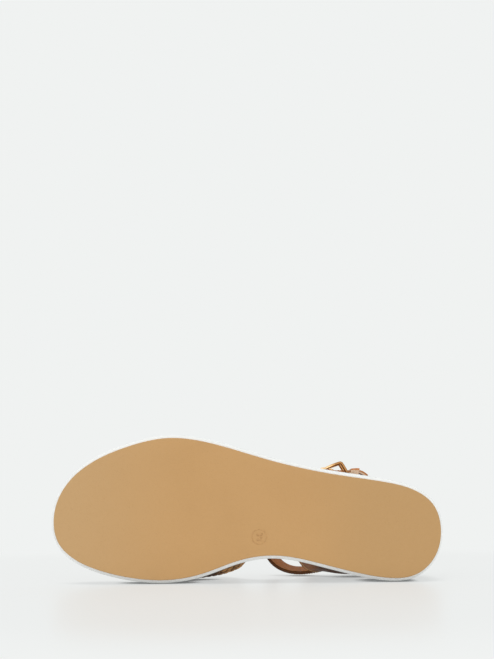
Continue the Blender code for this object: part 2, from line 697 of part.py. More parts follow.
def make_buckle_frame(parent):
    """Bowed frame: nose over the strap, bar under it, and side bars that arch out."""
    length = (BAR_TURN - NOSE_TURN) * RING.length
    corners = [
        (BUCKLE_CORNER, BUCKLE_HALF_WIDTH - BUCKLE_CORNER, 90.0),
        (length - BUCKLE_CORNER, BUCKLE_HALF_WIDTH - BUCKLE_CORNER, 0.0),
        (length - BUCKLE_CORNER, BUCKLE_CORNER - BUCKLE_HALF_WIDTH, -90.0),
        (BUCKLE_CORNER, BUCKLE_CORNER - BUCKLE_HALF_WIDTH, -180.0),
    ]
    flat = []
    for run, width, start in corners:
        for step in range(BUCKLE_CORNER_STEPS + 1):
            angle = math.radians(start + 90.0 * (1.0 - step / BUCKLE_CORNER_STEPS))
            flat.append((run + BUCKLE_CORNER * math.cos(angle), width + BUCKLE_CORNER * math.sin(angle)))
    path = []
    for (run, width), (next_run, next_width) in zip(flat, flat[1:] + flat[:1]):
        gap = math.hypot(next_run - run, next_width - width)
        pieces = max(1, round(gap / BUCKLE_PITCH))
        for k in range(pieces):
            path.append((run + (next_run - run) * k / pieces, width + (next_width - width) * k / pieces))
    run, width = np.array(path).T
    share = np.clip(run / length, 0.0, 1.0)
    rise = np.minimum(share / BUCKLE_BOW_PEAK, (1.0 - share) / (1.0 - BUCKLE_BOW_PEAK))
    bow = BUCKLE_BOW * rise * (1.0 + BUCKLE_BOW_ROUND * (1.0 - rise))
    nose_off = band_edges(np.array([NOSE_TURN]))[2][0] + QUARTER_WALL + FIT_GAP + BUCKLE_WIRE
    off = nose_off + (bar_off() - nose_off) * share + bow
    spine = off_foot(NOSE_TURN + run / RING.length, BUCKLE_UP + width, off)
    points, faces = wire(spine, np.full(len(spine), BUCKLE_WIRE), True)
    return make_object("buckle_frame", points, faces, GOLD_METAL, parent)


def prong_path(first):
    """Centre line of the buckle's pin, from one of its route's points on."""
    rows = PRONG_ROUTE[first:]
    runs = np.array([row.run for row in rows])
    offs = np.array([row.off for row in rows])
    where = np.linspace(runs[0], runs[-1], PRONG_STEPS_PER_ROW * len(rows))
    turns = NOSE_TURN + where / RING.length
    return off_foot(turns, BUCKLE_UP, smooth_table(where, runs, offs))


def make_prong(parent):
    """Buckle pin: rests on the nose, passes through the strap and ends at the bar's tab."""
    path = prong_path(0)
    radii = np.full(len(path), PRONG_WIRE)
    radii[0] = PRONG_WIRE * PRONG_POINT_SHARE
    return make_object("buckle_prong", *wire(path, radii, False), GOLD_METAL, parent)


def make_pin_hole(parent):
    """Cutter for the strap's hole, along the pin."""
    path = prong_path(HOLE_FIRST)
    hole = make_object("pin_hole", *wire(path, np.full(len(path), PRONG_HOLE), False), BROWN_LEATHER, parent)
    hole.hide_render = True
    hole.display_type = "WIRE"
    return hole


def tab_route(radius):
    """Run past the bar and distance off the foot along one face of the tab, from outer leg to inner leg."""
    legs = np.linspace(TAB_LEG, 0.0, TAB_LEG_STEPS, endpoint=False)
    arc = np.radians(np.linspace(90.0, 270.0, TAB_ARC_STEPS + 1))
    run = np.concatenate([legs, radius * np.cos(arc), legs[::-1]])
    ones = np.ones(TAB_LEG_STEPS)
    off = wing_lift(BAR_TURN + run / RING.length) + QUARTER_WALL / 2.0
    off = off + radius * np.concatenate([ones, np.sin(arc), -ones])
    return run, off


def make_tab(parent):
    """Leather tab folded round the buckle's bar, with the outer wing between its legs."""
    grids = []
    for radius in (BUCKLE_WIRE + FIT_GAP, BUCKLE_WIRE + FIT_GAP + TAB_THICK):
        run, off = tab_route(radius)
        width = np.linspace(-TAB_HALF_WIDTH, TAB_HALF_WIDTH, TAB_WIDTH_STEPS + 1)
        turn = BAR_TURN + run / RING.length
        grids.append(off_foot(turn[:, None], BUCKLE_UP + width[None, :], off[:, None]))
    return make_object("buckle_tab", *wall_between(*grids), BROWN_LEATHER, parent)


def make_keeper(parent):
    """Leather keeper: a bridge over the strap's free end, tilted with it, its legs on the outer wing."""
    low, high, lift = band_edges(np.array([KEEPER_TURN]))
    middle = (low[0] + high[0]) / 2.0
    top = lift[0] + QUARTER_WALL + FIT_GAP
    foot = wing_lift(KEEPER_TURN)[0] + QUARTER_WALL + 2.0 * FIT_GAP
    turn = KEEPER_TURN + np.linspace(-0.5, 0.5, KEEPER_WIDTH_STEPS + 1) * KEEPER_WIDTH / RING.length
    tilt = band_edges(turn)[2] - lift[0]
    grids = []
    for out in (0.0, KEEPER_THICK):
        span, roof, round_off = KEEPER_HALF_SPAN + out, top + out, KEEPER_CORNER + out
        arc = np.radians(np.linspace(180.0, 90.0, KEEPER_CORNER_STEPS + 1))
        corner_up = -span + round_off + round_off * np.cos(arc)
        corner_off = roof - round_off + round_off * np.sin(arc)
        side_up = np.concatenate([[-span], corner_up, [-span * KEEPER_ROOF_SHARE]])
        side_off = np.concatenate([[foot], corner_off, [roof]])
        up = middle + np.concatenate([side_up, -side_up[::-1]])
        off = np.concatenate([side_off, side_off[::-1]])
        raised = (off - foot) / (top - foot)
        grids.append(off_foot(turn[None, :], up[:, None], off[:, None] + raised[:, None] * tilt[None, :]))
    return make_object("strap_keeper", *wall_between(*grids), BROWN_LEATHER, parent)


def lay_on_side(sandal, pieces):
    """Turns the sandal onto its inner side, its box centred over the origin and its lowest point at zero."""
    sandal.rotation_euler = (math.radians(-90.0), 0.0, 0.0)
    corners = np.vstack([[vertex.co[:] for vertex in piece.data.vertices] for piece in pieces])
    low, high = corners.min(axis=0), corners.max(axis=0)
    middle = (low + high) / 2.0
    sandal.location = (-middle[0], -middle[2], high[1])


def main():
    """Builds the sandal and lays it on its inner side."""
    for item in list(bpy.data.objects):
        bpy.data.objects.remove(item)
    sandal = bpy.data.objects.new("sandal", None)
    bpy.context.scene.collection.objects.link(sandal)
    pieces = [
        make_outsole(sandal),
        make_midsole(sandal),
        make_insole(sandal),
        make_front_strap(sandal),
        make_quarter(sandal, make_pin_hole(sandal)),
        make_buckle_frame(sandal),
        make_prong(sandal),
        make_tab(sandal),
        make_keeper(sandal),
    ]
    lay_on_side(sandal, pieces)


main()
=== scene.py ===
"""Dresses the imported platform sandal: sole, footbed, woven strap, quarter, buckle and a plain studio.

The sandal's own sizes are in millimetres: "along" runs from the back of the heel to the toe, "across" is
positive towards the inner side of the foot and "up" is the height over the tread. RowMap turns them into
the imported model's frame, in metres.
"""

import logging
import math
from dataclasses import dataclass, field
from enum import Enum
from typing import Callable, NamedTuple, Sequence

import bpy
import numpy as np
from mathutils import Matrix, Vector


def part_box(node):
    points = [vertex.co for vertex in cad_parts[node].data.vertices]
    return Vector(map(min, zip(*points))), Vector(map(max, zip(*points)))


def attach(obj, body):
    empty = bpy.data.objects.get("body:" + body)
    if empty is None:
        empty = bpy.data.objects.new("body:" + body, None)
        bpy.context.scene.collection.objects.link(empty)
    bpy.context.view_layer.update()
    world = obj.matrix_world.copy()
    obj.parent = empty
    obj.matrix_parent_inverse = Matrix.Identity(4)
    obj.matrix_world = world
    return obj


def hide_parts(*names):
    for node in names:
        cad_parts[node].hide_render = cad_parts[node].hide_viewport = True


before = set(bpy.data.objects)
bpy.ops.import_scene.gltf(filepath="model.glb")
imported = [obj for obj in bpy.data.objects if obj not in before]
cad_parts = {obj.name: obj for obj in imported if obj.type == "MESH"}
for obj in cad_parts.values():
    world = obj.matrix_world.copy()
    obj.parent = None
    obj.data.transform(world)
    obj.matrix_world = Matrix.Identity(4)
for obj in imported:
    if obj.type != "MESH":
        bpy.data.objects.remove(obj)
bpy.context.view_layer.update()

LOG = logging.getLogger("sandal")
BODY = "root"
MM = 0.001
PROBE = 0.5
MERGE = 1e-6
EDGE_ANGLE = math.radians(55.0)
SMOOTH_ANGLE = math.radians(50.0)
FIRST_SIDE = (0.3, 0.5, 0.8)
NOISE_WIDE = (0.3, 0.7)
NOISE_NARROW = (0.35, 0.65)

Points = np.ndarray
Piece = bpy.types.Object
Socket = bpy.types.NodeSocket
Range = tuple[float, float]
Place = tuple[float, float, float]
Colour = tuple[float, float, float]


class Slot(Enum):
    """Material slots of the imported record."""

    TAN_RUBBER = "tan_rubber"
    WHITE_FOAM = "white_foam"
    FOOTBED_LEATHER = "footbed_leather"
    BROWN_LEATHER = "brown_leather"
    GOLD_METAL = "gold_metal"


class Side(Enum):
    """Sides of the ring round heel, ankle and instep."""

    INNER = "inner"
    FRONT = "front"
    OUTER = "outer"
    OUTER_AGAIN = "outer again"


class PlanPoint(NamedTuple):
    """Point of a closed line seen from above."""

    place: str
    along: float
    across: float


class SideRow(NamedTuple):
    """Row of the platform's side wall: share of its height and stand-out from the tread."""

    place: str
    share: float
    outset: float


class BandRow(NamedTuple):
    """Edges of quarter and instep strap at a place on the ring; no lower edge means the rim."""

    place: str
    side: Side
    along: float
    low: float | None
    high: float
    lift: float


class FrontRow(NamedTuple):
    """Crown height of the front strap over the rim, and reach of its inner side."""

    along: float
    height: float
    inner_reach: float


class StrapEdge(NamedTuple):
    """Rear and front edge of the front strap at one place over the foot."""

    place: str
    rear: float
    front: float


class ProngPoint(NamedTuple):
    """Point of the buckle pin: run from the nose towards the bar, and distance off the foot."""

    place: str
    run: float
    off: float


INNER_SHARE = 0.335
# Outline of the tread, in shares of the sole's length and of the ball width
OUTLINE = [
    PlanPoint("heel back", 0.000, 0.002),
    PlanPoint("heel inner corner", 0.013, 0.169),
    PlanPoint("heel inner rear", 0.068, 0.313),
    PlanPoint("heel inner", 0.126, INNER_SHARE),
    PlanPoint("heel inner front", 0.200, 0.306),
    PlanPoint("waist inner rear", 0.299, 0.239),
    PlanPoint("waist inner", 0.432, 0.171),
    PlanPoint("waist inner front", 0.530, 0.212),
    PlanPoint("ball inner rear", 0.607, 0.287),
    PlanPoint("ball inner", 0.702, INNER_SHARE),
    PlanPoint("toe inner rear", 0.799, 0.318),
    PlanPoint("toe inner", 0.877, 0.268),
    PlanPoint("toe inner corner", 0.960, 0.157),
    PlanPoint("toe inner tip", 0.986, 0.078),
    PlanPoint("toe tip", 1.000, -0.081),
    PlanPoint("toe outer tip", 0.988, -0.238),
    PlanPoint("toe outer corner", 0.956, -0.373),
    PlanPoint("toe outer", 0.878, -0.527),
    PlanPoint("ball outer front", 0.800, -0.610),
    PlanPoint("ball outer", 0.705, -0.662),
    PlanPoint("ball outer rear", 0.605, -0.632),
    PlanPoint("waist outer", 0.450, -0.508),
    PlanPoint("heel outer front", 0.256, -0.388),
    PlanPoint("heel outer", 0.140, -0.337),
    PlanPoint("heel outer rear", 0.063, -0.275),
    PlanPoint("heel outer corner", 0.016, -0.168),
]
# Ring round heel, ankle and instep, in millimetres
RING_PLAN = [
    PlanPoint("heel back", 8.5, 0.0),
    PlanPoint("heel inner", 24.0, 19.5),
    PlanPoint("ankle inner", 50.0, 28.8),
    PlanPoint("joint inner", 71.0, 27.9),
    PlanPoint("widest inner", 84.5, 29.7),
    PlanPoint("instep inner", 107.7, 25.8),
    PlanPoint("instep inner front", 119.5, 13.5),
    PlanPoint("instep front", 122.5, -5.0),
    PlanPoint("instep outer front", 115.0, -24.0),
    PlanPoint("instep outer", 100.0, -32.4),
    PlanPoint("widest outer", 82.0, -34.6),
    PlanPoint("buckle outer", 59.0, -35.4),
    PlanPoint("free end outer", 45.0, -32.2),
    PlanPoint("heel outer", 24.0, -21.8),
]


def smoothstep(value: Points) -> Points:
    """Ease from 0 to 1 as the value runs from 0 to 1."""
    t = np.clip(value, 0.0, 1.0)
    return t * t * (3.0 - 2.0 * t)


def smooth_table(where: Points, places: Points, values: Points) -> Points:
    """Values between the rows of a table, eased by a cubic through the rows.

    Args:
        where: Places to read the table at.
        places: Rising places of the rows.
        values: Values of the rows.

    Returns:
        One value for each place read.
    """
    slopes = np.gradient(values, places)
    piece = np.clip(np.searchsorted(places, where, side="right") - 1, 0, len(places) - 2)
    h = places[piece + 1] - places[piece]
    t = np.clip((where - places[piece]) / h, 0.0, 1.0)
    rise = (2 * t**3 - 3 * t**2 + 1) * values[piece] + (3 * t**2 - 2 * t**3) * values[piece + 1]
    ease = (t**3 - 2 * t**2 + t) * slopes[piece] + (t**3 - t**2) * slopes[piece + 1]
    return rise + h * ease


def unit(vectors: Points) -> Points:
    """The vectors at length one."""
    return vectors / np.linalg.norm(vectors, axis=-1)[..., None]


def read_along(where: Points, marks: Points, rows: Points) -> Points:
    """Rows of a line, read at distances along it."""
    return np.stack([np.interp(where, marks, values) for values in rows.T], axis=-1)


def table_column(rows: Sequence[tuple], name: str) -> Points:
    """One named column of a table."""
    return np.array([getattr(row, name) for row in rows])


def closed_spline(points: Sequence[tuple[float, float]], samples: int) -> Points:
    """Samples of the periodic cubic spline through points.

    Args:
        points: Corner points of the closed curve, in order.
        samples: Number of samples, evenly spread over the corner distances.

    Returns:
        The samples, starting at the first point.
    """
    knots_at = np.asarray(points, float)
    step = np.linalg.norm(np.roll(knots_at, -1, axis=0) - knots_at, axis=1)
    before = np.roll(step, 1)
    count = len(knots_at)
    matrix = np.zeros((count, count))
    for i in range(count):
        matrix[i, i - 1] = before[i]
        matrix[i, i] = 2.0 * (before[i] + step[i])
        matrix[i, (i + 1) % count] = step[i]
    slope = (np.roll(knots_at, -1, axis=0) - knots_at) / step[:, None]
    bend = np.linalg.solve(matrix, 6.0 * (slope - np.roll(slope, 1, axis=0)))
    knots = np.concatenate([[0.0], np.cumsum(step)])
    where = np.linspace(0.0, knots[-1], samples, endpoint=False)
    piece = np.clip(np.searchsorted(knots, where, side="right") - 1, 0, count - 1)
    h = step[piece][:, None]
    right = (where - knots[piece])[:, None]
    left = h - right
    after = (piece + 1) % count
    cubic = (bend[piece] * left**3 + bend[after] * right**3) / (6.0 * h)
    start = (knots_at[piece] / h - bend[piece] * h / 6.0) * left
    end = (knots_at[after] / h - bend[after] * h / 6.0) * right
    return cubic + start + end


class PlanCurve:
    """A closed curve seen from above, walked by distance from the heel's back through the inner side."""

    def __init__(self, points: Points) -> None:
        """Keeps the points and their distances along the curve."""
        self.points = np.asarray(points, float)
        gaps = np.linalg.norm(np.roll(self.points, -1, axis=0) - self.points, axis=1)
        self.marks = np.concatenate([[0.0], np.cumsum(gaps)])
        self.length = float(self.marks[-1])
        self.looped = np.vstack([self.points, self.points[:1]])
        self.tip = int(np.argmax(self.points[:, 0]))

    def at(self, distance: Points) -> Points:
        """Point (along, across) at each distance."""
        return read_along(np.mod(distance, self.length), self.marks, self.looped)

    def moved_out(self, distance: float) -> "PlanCurve":
        """The curve moved outwards, as another plan curve."""
        tangent = np.roll(self.points, -1, axis=0) - np.roll(self.points, 1, axis=0)
        normal = unit(np.stack([-tangent[:, 1], tangent[:, 0]], axis=-1))
        return PlanCurve(self.points + normal * distance)

    def front(self) -> float:
        """Distance at which the curve reaches furthest forward."""
        return float(self.marks[self.tip])

    def inner_across(self, along: Points) -> Points:
        """Across value of the inner side at a place along the curve."""
        side = self.points[: self.tip + 1]
        return np.interp(along, side[:, 0], side[:, 1])

    def outer_across(self, along: Points) -> Points:
        """Across value of the outer side at a place along the curve."""
        side = self.looped[self.tip :][::-1]
        return np.interp(along, side[:, 0], side[:, 1])

    def inner_distance(self, along: Points) -> Points:
        """Distance from the heel's back to a place along the inner side."""
        return np.interp(along, self.points[: self.tip + 1, 0], self.marks[: self.tip + 1])

    def outer_distance(self, along: Points) -> Points:
        """Distance, under zero, from the heel's back to a place along the outer side."""
        side = self.looped[self.tip :][::-1]
        return np.interp(along, side[:, 0], self.marks[self.tip :][::-1]) - self.length


@dataclass
class RowMap:
    """Turns the sandal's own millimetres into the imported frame's metres."""

    along_zero: float
    up_zero: float
    across_zero: float

    @classmethod
    def from_outsole(cls, tread: PlanCurve) -> "RowMap":
        """The map that lays the tread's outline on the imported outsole."""
        low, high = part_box("outsole")
        middle = (tread.points.min(axis=0) + tread.points.max(axis=0)) / 2.0
        return cls(
            along_zero=middle[0] + (low.x + high.x) / 2.0 / MM,
            up_zero=-low.y / MM,
            across_zero=middle[1] + (low.z + high.z) / 2.0 / MM,
        )

    def place(self, points: Points) -> Points:
        """Row positions of points given as along, across and up."""
        points = np.asarray(points, float)
        x = self.along_zero - points[..., 0]
        y = points[..., 2] - self.up_zero
        z = self.across_zero - points[..., 1]
        return np.stack([x, y, z], axis=-1) * MM


@dataclass
class Last:
    """The form that all pieces follow: tread outline, platform heights and the places of the straps."""

    sole_length: float = 250.0
    ball_width: float = 91.0
    outsole_thick: float = 3.5
    forefoot_height: float = 26.0
    heel_height: float = 36.0
    heel_flat_end: float = 62.0
    forefoot_flat_start: float = 158.0
    toe_spring: float = 5.0
    toe_spring_start: float = 186.0
    toe_spring_on_top: float = 0.8
    fit_gap: float = 0.3
    strap_inset: float = 3.3
    curve_samples: int = 720
    side_points: int = 130

    def __post_init__(self) -> None:
        """Draws the tread's outline and the line that the straps stand on."""
        rows = [(row.along * self.sole_length, row.across * self.ball_width) for row in OUTLINE]
        self.tread = PlanCurve(closed_spline(rows, self.curve_samples))
        self.strap_base = self.tread.moved_out(-self.strap_inset)
        self.row = RowMap.from_outsole(self.tread)

    def toe_lift(self, along: Points) -> Points:
        """Rise of the tread over its flat plane, towards the toe."""
        t = (along - self.toe_spring_start) / (self.sole_length - self.toe_spring_start)
        return self.toe_spring * np.clip(t, 0.0, None) ** 2

    def platform_top(self, along: Points) -> Points:
        """Height of the platform's upper face, sloping down from heel to forefoot."""
        t = (self.forefoot_flat_start - along) / (self.forefoot_flat_start - self.heel_flat_end)
        slope = (self.heel_height - self.forefoot_height) * smoothstep(t)
        return self.forefoot_height + slope + self.toe_spring_on_top * self.toe_lift(along)

    def rim_up(self, along: Points) -> Points:
        """Height at which straps and insole rest on the platform."""
        return self.platform_top(along) + self.fit_gap

    def above_rim(self, points: Points) -> Points:
        """The points kept off the platform's rim."""
        up = np.maximum(points[..., 2], self.rim_up(points[..., 0]))
        return np.concatenate([points[..., :2], up[..., None]], axis=-1)

    def side_ring(self, outset: float, level: Callable[[Points], Points]) -> Points:
        """Closed loop on the tread's outline.

        Args:
            outset: Distance that the loop stands out from the outline.
            level: Height of the loop at each place along.

        Returns:
            The loop's points, inner side first and the outer side back to the heel.
        """
        curve = self.tread.moved_out(outset)
        inner = np.linspace(0.0, curve.front(), self.side_points, endpoint=False)
        outer = np.linspace(curve.front(), curve.length, self.side_points, endpoint=False)
        plan = curve.at(np.concatenate([inner, outer]))
        return np.column_stack([plan, level(plan[:, 0])])


class ShaderSheet:
    """Node tree of one material, with short calls for the nodes that the finishes use."""

    def __init__(self, name: str) -> None:
        """Starts a material with its shader and the object's own coordinates."""
        self.material = bpy.data.materials.new(name)
        self.material.use_nodes = True
        self.nodes = self.material.node_tree.nodes
        self.links = self.material.node_tree.links
        self.shader = self.nodes["Principled BSDF"]
        self.coords = self.nodes.new("ShaderNodeTexCoord").outputs["Object"]

    def put(self, socket: Socket, value: object) -> None:
        """Links a socket to another, or sets its value."""
        if isinstance(value, Socket):
            self.links.new(value, socket)
        elif isinstance(value, tuple) and len(value) == 3 and socket.type == "RGBA":
            socket.default_value = (*value, 1.0)
        else:
            socket.default_value = value

    def add(self, kind: str, output: str, inputs: dict[str | int, object], **options: str) -> Socket:
        """Adds a node.

        Args:
            kind: Its type.
            output: Name of the output that is wanted.
            inputs: Values or sockets for its inputs, by name or number.
            options: The node's own choices.

        Returns:
            The output's socket.
        """
        node = self.nodes.new(kind)
        for name, choice in options.items():
            setattr(node, name, choice)
        for name, value in inputs.items():
            self.put(node.inputs[name], value)
        return node.outputs[output]

    def noise(
        self, size: float, detail: float = 2.0, rough: float = 0.5, stretch: Place | None = None
    ) -> Socket:
        """Soft noise.

        Args:
            size: Size of its features in millimetres.
            detail: Octaves of finer detail.
            rough: Weight of the finer detail.
            stretch: Scale along each axis, where the noise is stretched.

        Returns:
            The noise value's socket.
        """
        where = self.coords
        if stretch:
            where = self.add("ShaderNodeMapping", "Vector", {"Vector": where, "Scale": stretch})
        inputs = {"Vector": where, "Scale": 1.0 / (size * MM), "Detail": detail, "Roughness": rough}
        return self.add("ShaderNodeTexNoise", "Fac", inputs)

    def cells(self, size: float) -> Socket:
        """Distance to the borders of cells of a size in millimetres, as in leather grain."""
        inputs = {"Vector": self.coords, "Scale": 1.0 / (size * MM)}
        return self.add("ShaderNodeTexVoronoi", "Distance", inputs, feature="DISTANCE_TO_EDGE")

    def axis(self, name: str) -> Socket:
        """One of the object's coordinates, in metres."""
        return self.add("ShaderNodeSeparateXYZ", name, {"Vector": self.coords})

    def attribute(self, name: str) -> Socket:
        """A value that the mesh carries."""
        return self.add("ShaderNodeAttribute", "Fac", {}, attribute_name=name)

    def mapped(self, value: Socket, old: Range, new: Range = (0.0, 1.0)) -> Socket:
        """A value moved from one range to another, held at its ends."""
        inputs = dict(zip(("Value", "From Min", "From Max", "To Min", "To Max"), (value, *old, *new)))
        return self.add("ShaderNodeMapRange", "Result", inputs, interpolation_type="SMOOTHSTEP")

    def maths(self, operation: str, first: object, second: object) -> Socket:
        """Result of a Math node on two values."""
        return self.add("ShaderNodeMath", "Value", {0: first, 1: second}, operation=operation)

    def blended(self, share: object, first: object, second: object) -> Socket:
        """Colour mixed from two others by a share."""
        inputs = {"Factor": share, "A": first, "B": second}
        return self.add("ShaderNodeMix", "Result", inputs, data_type="RGBA")

    def openness(self, reach: float) -> Socket:
        """Share of the space within a reach of the surface that is open."""
        return self.add("ShaderNodeAmbientOcclusion", "AO", {"Distance": reach})

    def feed(self, name: str, value: object) -> None:
        """Sets or links one of the shader's sockets."""
        self.put(self.shader.inputs[name], value)

    def relief(self, layers: Sequence[tuple[Socket, float]]) -> None:
        """Bumps the surface by several heights, each with its depth in millimetres."""
        below = {}
        for height, depth in layers:
            inputs = {"Distance": depth * MM, "Height": height, **below}
            below = {"Normal": self.add("ShaderNodeBump", "Normal", inputs)}
        self.feed("Normal", below["Normal"])


@dataclass(frozen=True)
class Finish:
    """A surface finish with its own name and record slot."""

    name: str
    slot: Slot

    def build(self, sheet: ShaderSheet) -> None:
        """Fills the sheet's nodes."""
        raise NotImplementedError

    def material(self) -> bpy.types.Material:
        """The finish's material, made once."""
        found = bpy.data.materials.get(self.name)
        if found:
            return found
        sheet = ShaderSheet(self.name)
        self.build(sheet)
        return sheet.material


@dataclass(frozen=True)
class RubberFinish(Finish):
    """Matt moulded sole rubber with a very fine grain, paler at the toe and duller at the heel."""

    body: Colour = (0.530, 0.300, 0.118)
    cloud: Colour = (0.545, 0.310, 0.123)
    toe: Colour = (0.536, 0.328, 0.148)
    heel: Colour = (0.502, 0.294, 0.120)
    speck: Colour = (0.430, 0.235, 0.088)
    toe_range: Range = (-0.030, -0.130)
    heel_range: Range = (0.030, 0.085)
    patch: float = 38.0
    grain: float = 0.75
    grain_rough: float = 0.65
    grain_depth: float = 0.08
    speck_range: Range = (0.55, 0.75)
    speck_share: float = 0.5
    ripple: float = 1.7
    ripple_depth: float = 0.06
    polish: float = 2.4
    roughness: Range = (0.52, 0.66)
    specular: float = 0.35

    def build(self, sheet: ShaderSheet) -> None:
        """Fills the sheet's nodes."""
        cloud = sheet.mapped(sheet.noise(self.patch, 3.0), NOISE_NARROW)
        base = sheet.blended(cloud, self.body, self.cloud)
        for span, tone in ((self.toe_range, self.toe), (self.heel_range, self.heel)):
            base = sheet.blended(sheet.mapped(sheet.axis("X"), span), base, tone)
        grain = sheet.noise(self.grain, 3.0, self.grain_rough)
        speck = sheet.mapped(grain, self.speck_range, (0.0, self.speck_share))
        sheet.feed("Base Color", sheet.blended(speck, base, self.speck))
        sheet.feed("Roughness", sheet.mapped(sheet.noise(self.polish), NOISE_WIDE, self.roughness))
        sheet.feed("Specular IOR Level", self.specular)
        sheet.relief([(grain, self.grain_depth), (sheet.noise(self.ripple), self.ripple_depth)])


@dataclass(frozen=True)
class FoamFinish(Finish):
    """White moulded foam with a fine skin and a trace of handling dirt."""

    body: Colour = (0.865, 0.87, 0.86)
    dirt: Colour = (0.72, 0.71, 0.68)
    smudge: float = 16.0
    smudge_rough: float = 0.6
    smudge_range: Range = (0.58, 0.82)
    smudge_share: float = 0.4
    skin: float = 0.7
    skin_rough: float = 0.55
    skin_depth: float = 0.035
    roughness: Range = (0.42, 0.58)
    light_through: float = 0.06
    light_reach: Place = (0.002, 0.002, 0.0018)

    def build(self, sheet: ShaderSheet) -> None:
        """Fills the sheet's nodes."""
        cloud = sheet.noise(self.smudge, 4.0, self.smudge_rough)
        smudge = sheet.mapped(cloud, self.smudge_range, (0.0, self.smudge_share))
        sheet.feed("Base Color", sheet.blended(smudge, self.body, self.dirt))
        skin = sheet.noise(self.skin, 3.0, self.skin_rough)
        sheet.feed("Roughness", sheet.mapped(skin, NOISE_WIDE, self.roughness))
        sheet.feed("Subsurface Weight", self.light_through)
        sheet.feed("Subsurface Radius", self.light_reach)
        sheet.relief([(skin, self.skin_depth)])


@dataclass(frozen=True)
class LeatherFinish(Finish):
    """Leather with a cell grain and a cloudy tone; where a piece has them, painted shade low on the floor
    side, a lit colour painted on its top side, and cut edges whose dark low part is partly painted shade.
    """

    body: Colour = (0.250, 0.088, 0.027)
    light: Colour = (0.340, 0.130, 0.042)
    dark: Colour = (0.090, 0.032, 0.012)
    cloud: float = 7.0
    cloud_rough: float = 0.6
    cloud_range: Range = (0.32, 0.68)
    grain: float = 0.6
    grain_depth: float = 0.055
    crease_range: Range = (0.0, 0.09)
    crease_tone: Range = (0.35, 0.0)
    pore: float = 0.35
    pore_depth: float = 0.02
    roughness: Range = (0.38, 0.58)
    coat: float = 0.05
    coat_roughness: float = 0.35
    specular: float = 0.28
    # Tone attribute: random tone plus painted shade
    tone_and_shade_range: float = 0.0
    # Painted shade towards the floor, over the ranges below
    painted_shade: float = 0.0
    painted_shade_along: Range = (0.040, 0.052)
    painted_shade_up: Range = (0.045, 0.030)
    # Lit colour painted on the top side
    painted_light_top: Colour | None = None
    painted_light_top_turn: Range = (0.055, 0.080)
    cut_edge: Colour | None = None
    # Dark colour of low cut edges: partly edge paint, partly painted shade
    cut_paint_and_shade: Colour = (0.085, 0.036, 0.014)
    cut_turn: Range = (0.050, 0.070)
    cut_below: Range = (0.013, 0.008)
    fibre: float = 0.8
    fibre_rough: float = 0.6
    fibre_tone: Range = (0.72, 1.0)

    def build(self, sheet: ShaderSheet) -> None:
        """Fills the sheet's nodes."""
        cloud = sheet.mapped(sheet.noise(self.cloud, 4.0, self.cloud_rough), self.cloud_range)
        base = sheet.blended(cloud, self.body, self.light)
        # Painted shade: darker along X and towards the floor over the given ranges, where the piece sits in
        # shade
        if self.painted_shade:
            lengthwise = sheet.mapped(sheet.axis("X"), self.painted_shade_along, (0.0, self.painted_shade))
            low = sheet.mapped(sheet.axis("Z"), self.painted_shade_up)
            base = sheet.blended(sheet.maths("MULTIPLY", lengthwise, low), base, self.dark)
        # Painted light: the top side takes the leather's lit colour, over a body colour that stands for it
        # in shade
        if self.painted_light_top:
            base = sheet.blended(sheet.mapped(sheet.axis("Z"), self.painted_light_top_turn), base, self.painted_light_top)
        crease = sheet.mapped(sheet.cells(self.grain), self.crease_range)
        base = sheet.blended(sheet.mapped(crease, (0.0, 1.0), self.crease_tone), base, self.dark)
        # The tone attribute holds each strip's own random tone plus painted shade at its borders and where
        # it dives under another
        if self.tone_and_shade_range:
            tone = sheet.maths("MULTIPLY", sheet.attribute("tone"), self.tone_and_shade_range)
            base = sheet.blended(tone, base, self.dark)
        # Cut edges: pale on the top side and nearer the sole, dark low on the floor side; the dark part is
        # partly a dark edge paint and partly painted shade
        if self.cut_edge:
            fibre = sheet.noise(self.fibre, 3.0, self.fibre_rough)
            fibre = sheet.mapped(fibre, NOISE_WIDE, self.fibre_tone)
            outer = sheet.mapped(sheet.axis("Z"), self.cut_turn)
            below = sheet.mapped(sheet.axis("Y"), self.cut_below)
            edge = sheet.blended(sheet.maths("MAXIMUM", outer, below), self.cut_paint_and_shade, self.cut_edge)
            base = sheet.blended(sheet.maths("MULTIPLY", sheet.attribute("cut"), fibre), base, edge)
        sheet.feed("Base Color", base)
        sheet.feed("Roughness", sheet.mapped(cloud, (0.0, 1.0), self.roughness))
        sheet.feed("Specular IOR Level", self.specular)
        sheet.feed("Coat Weight", self.coat)
        sheet.feed("Coat Roughness", self.coat_roughness)
        sheet.relief([(sheet.noise(self.pore), self.pore_depth), (crease, self.grain_depth)])


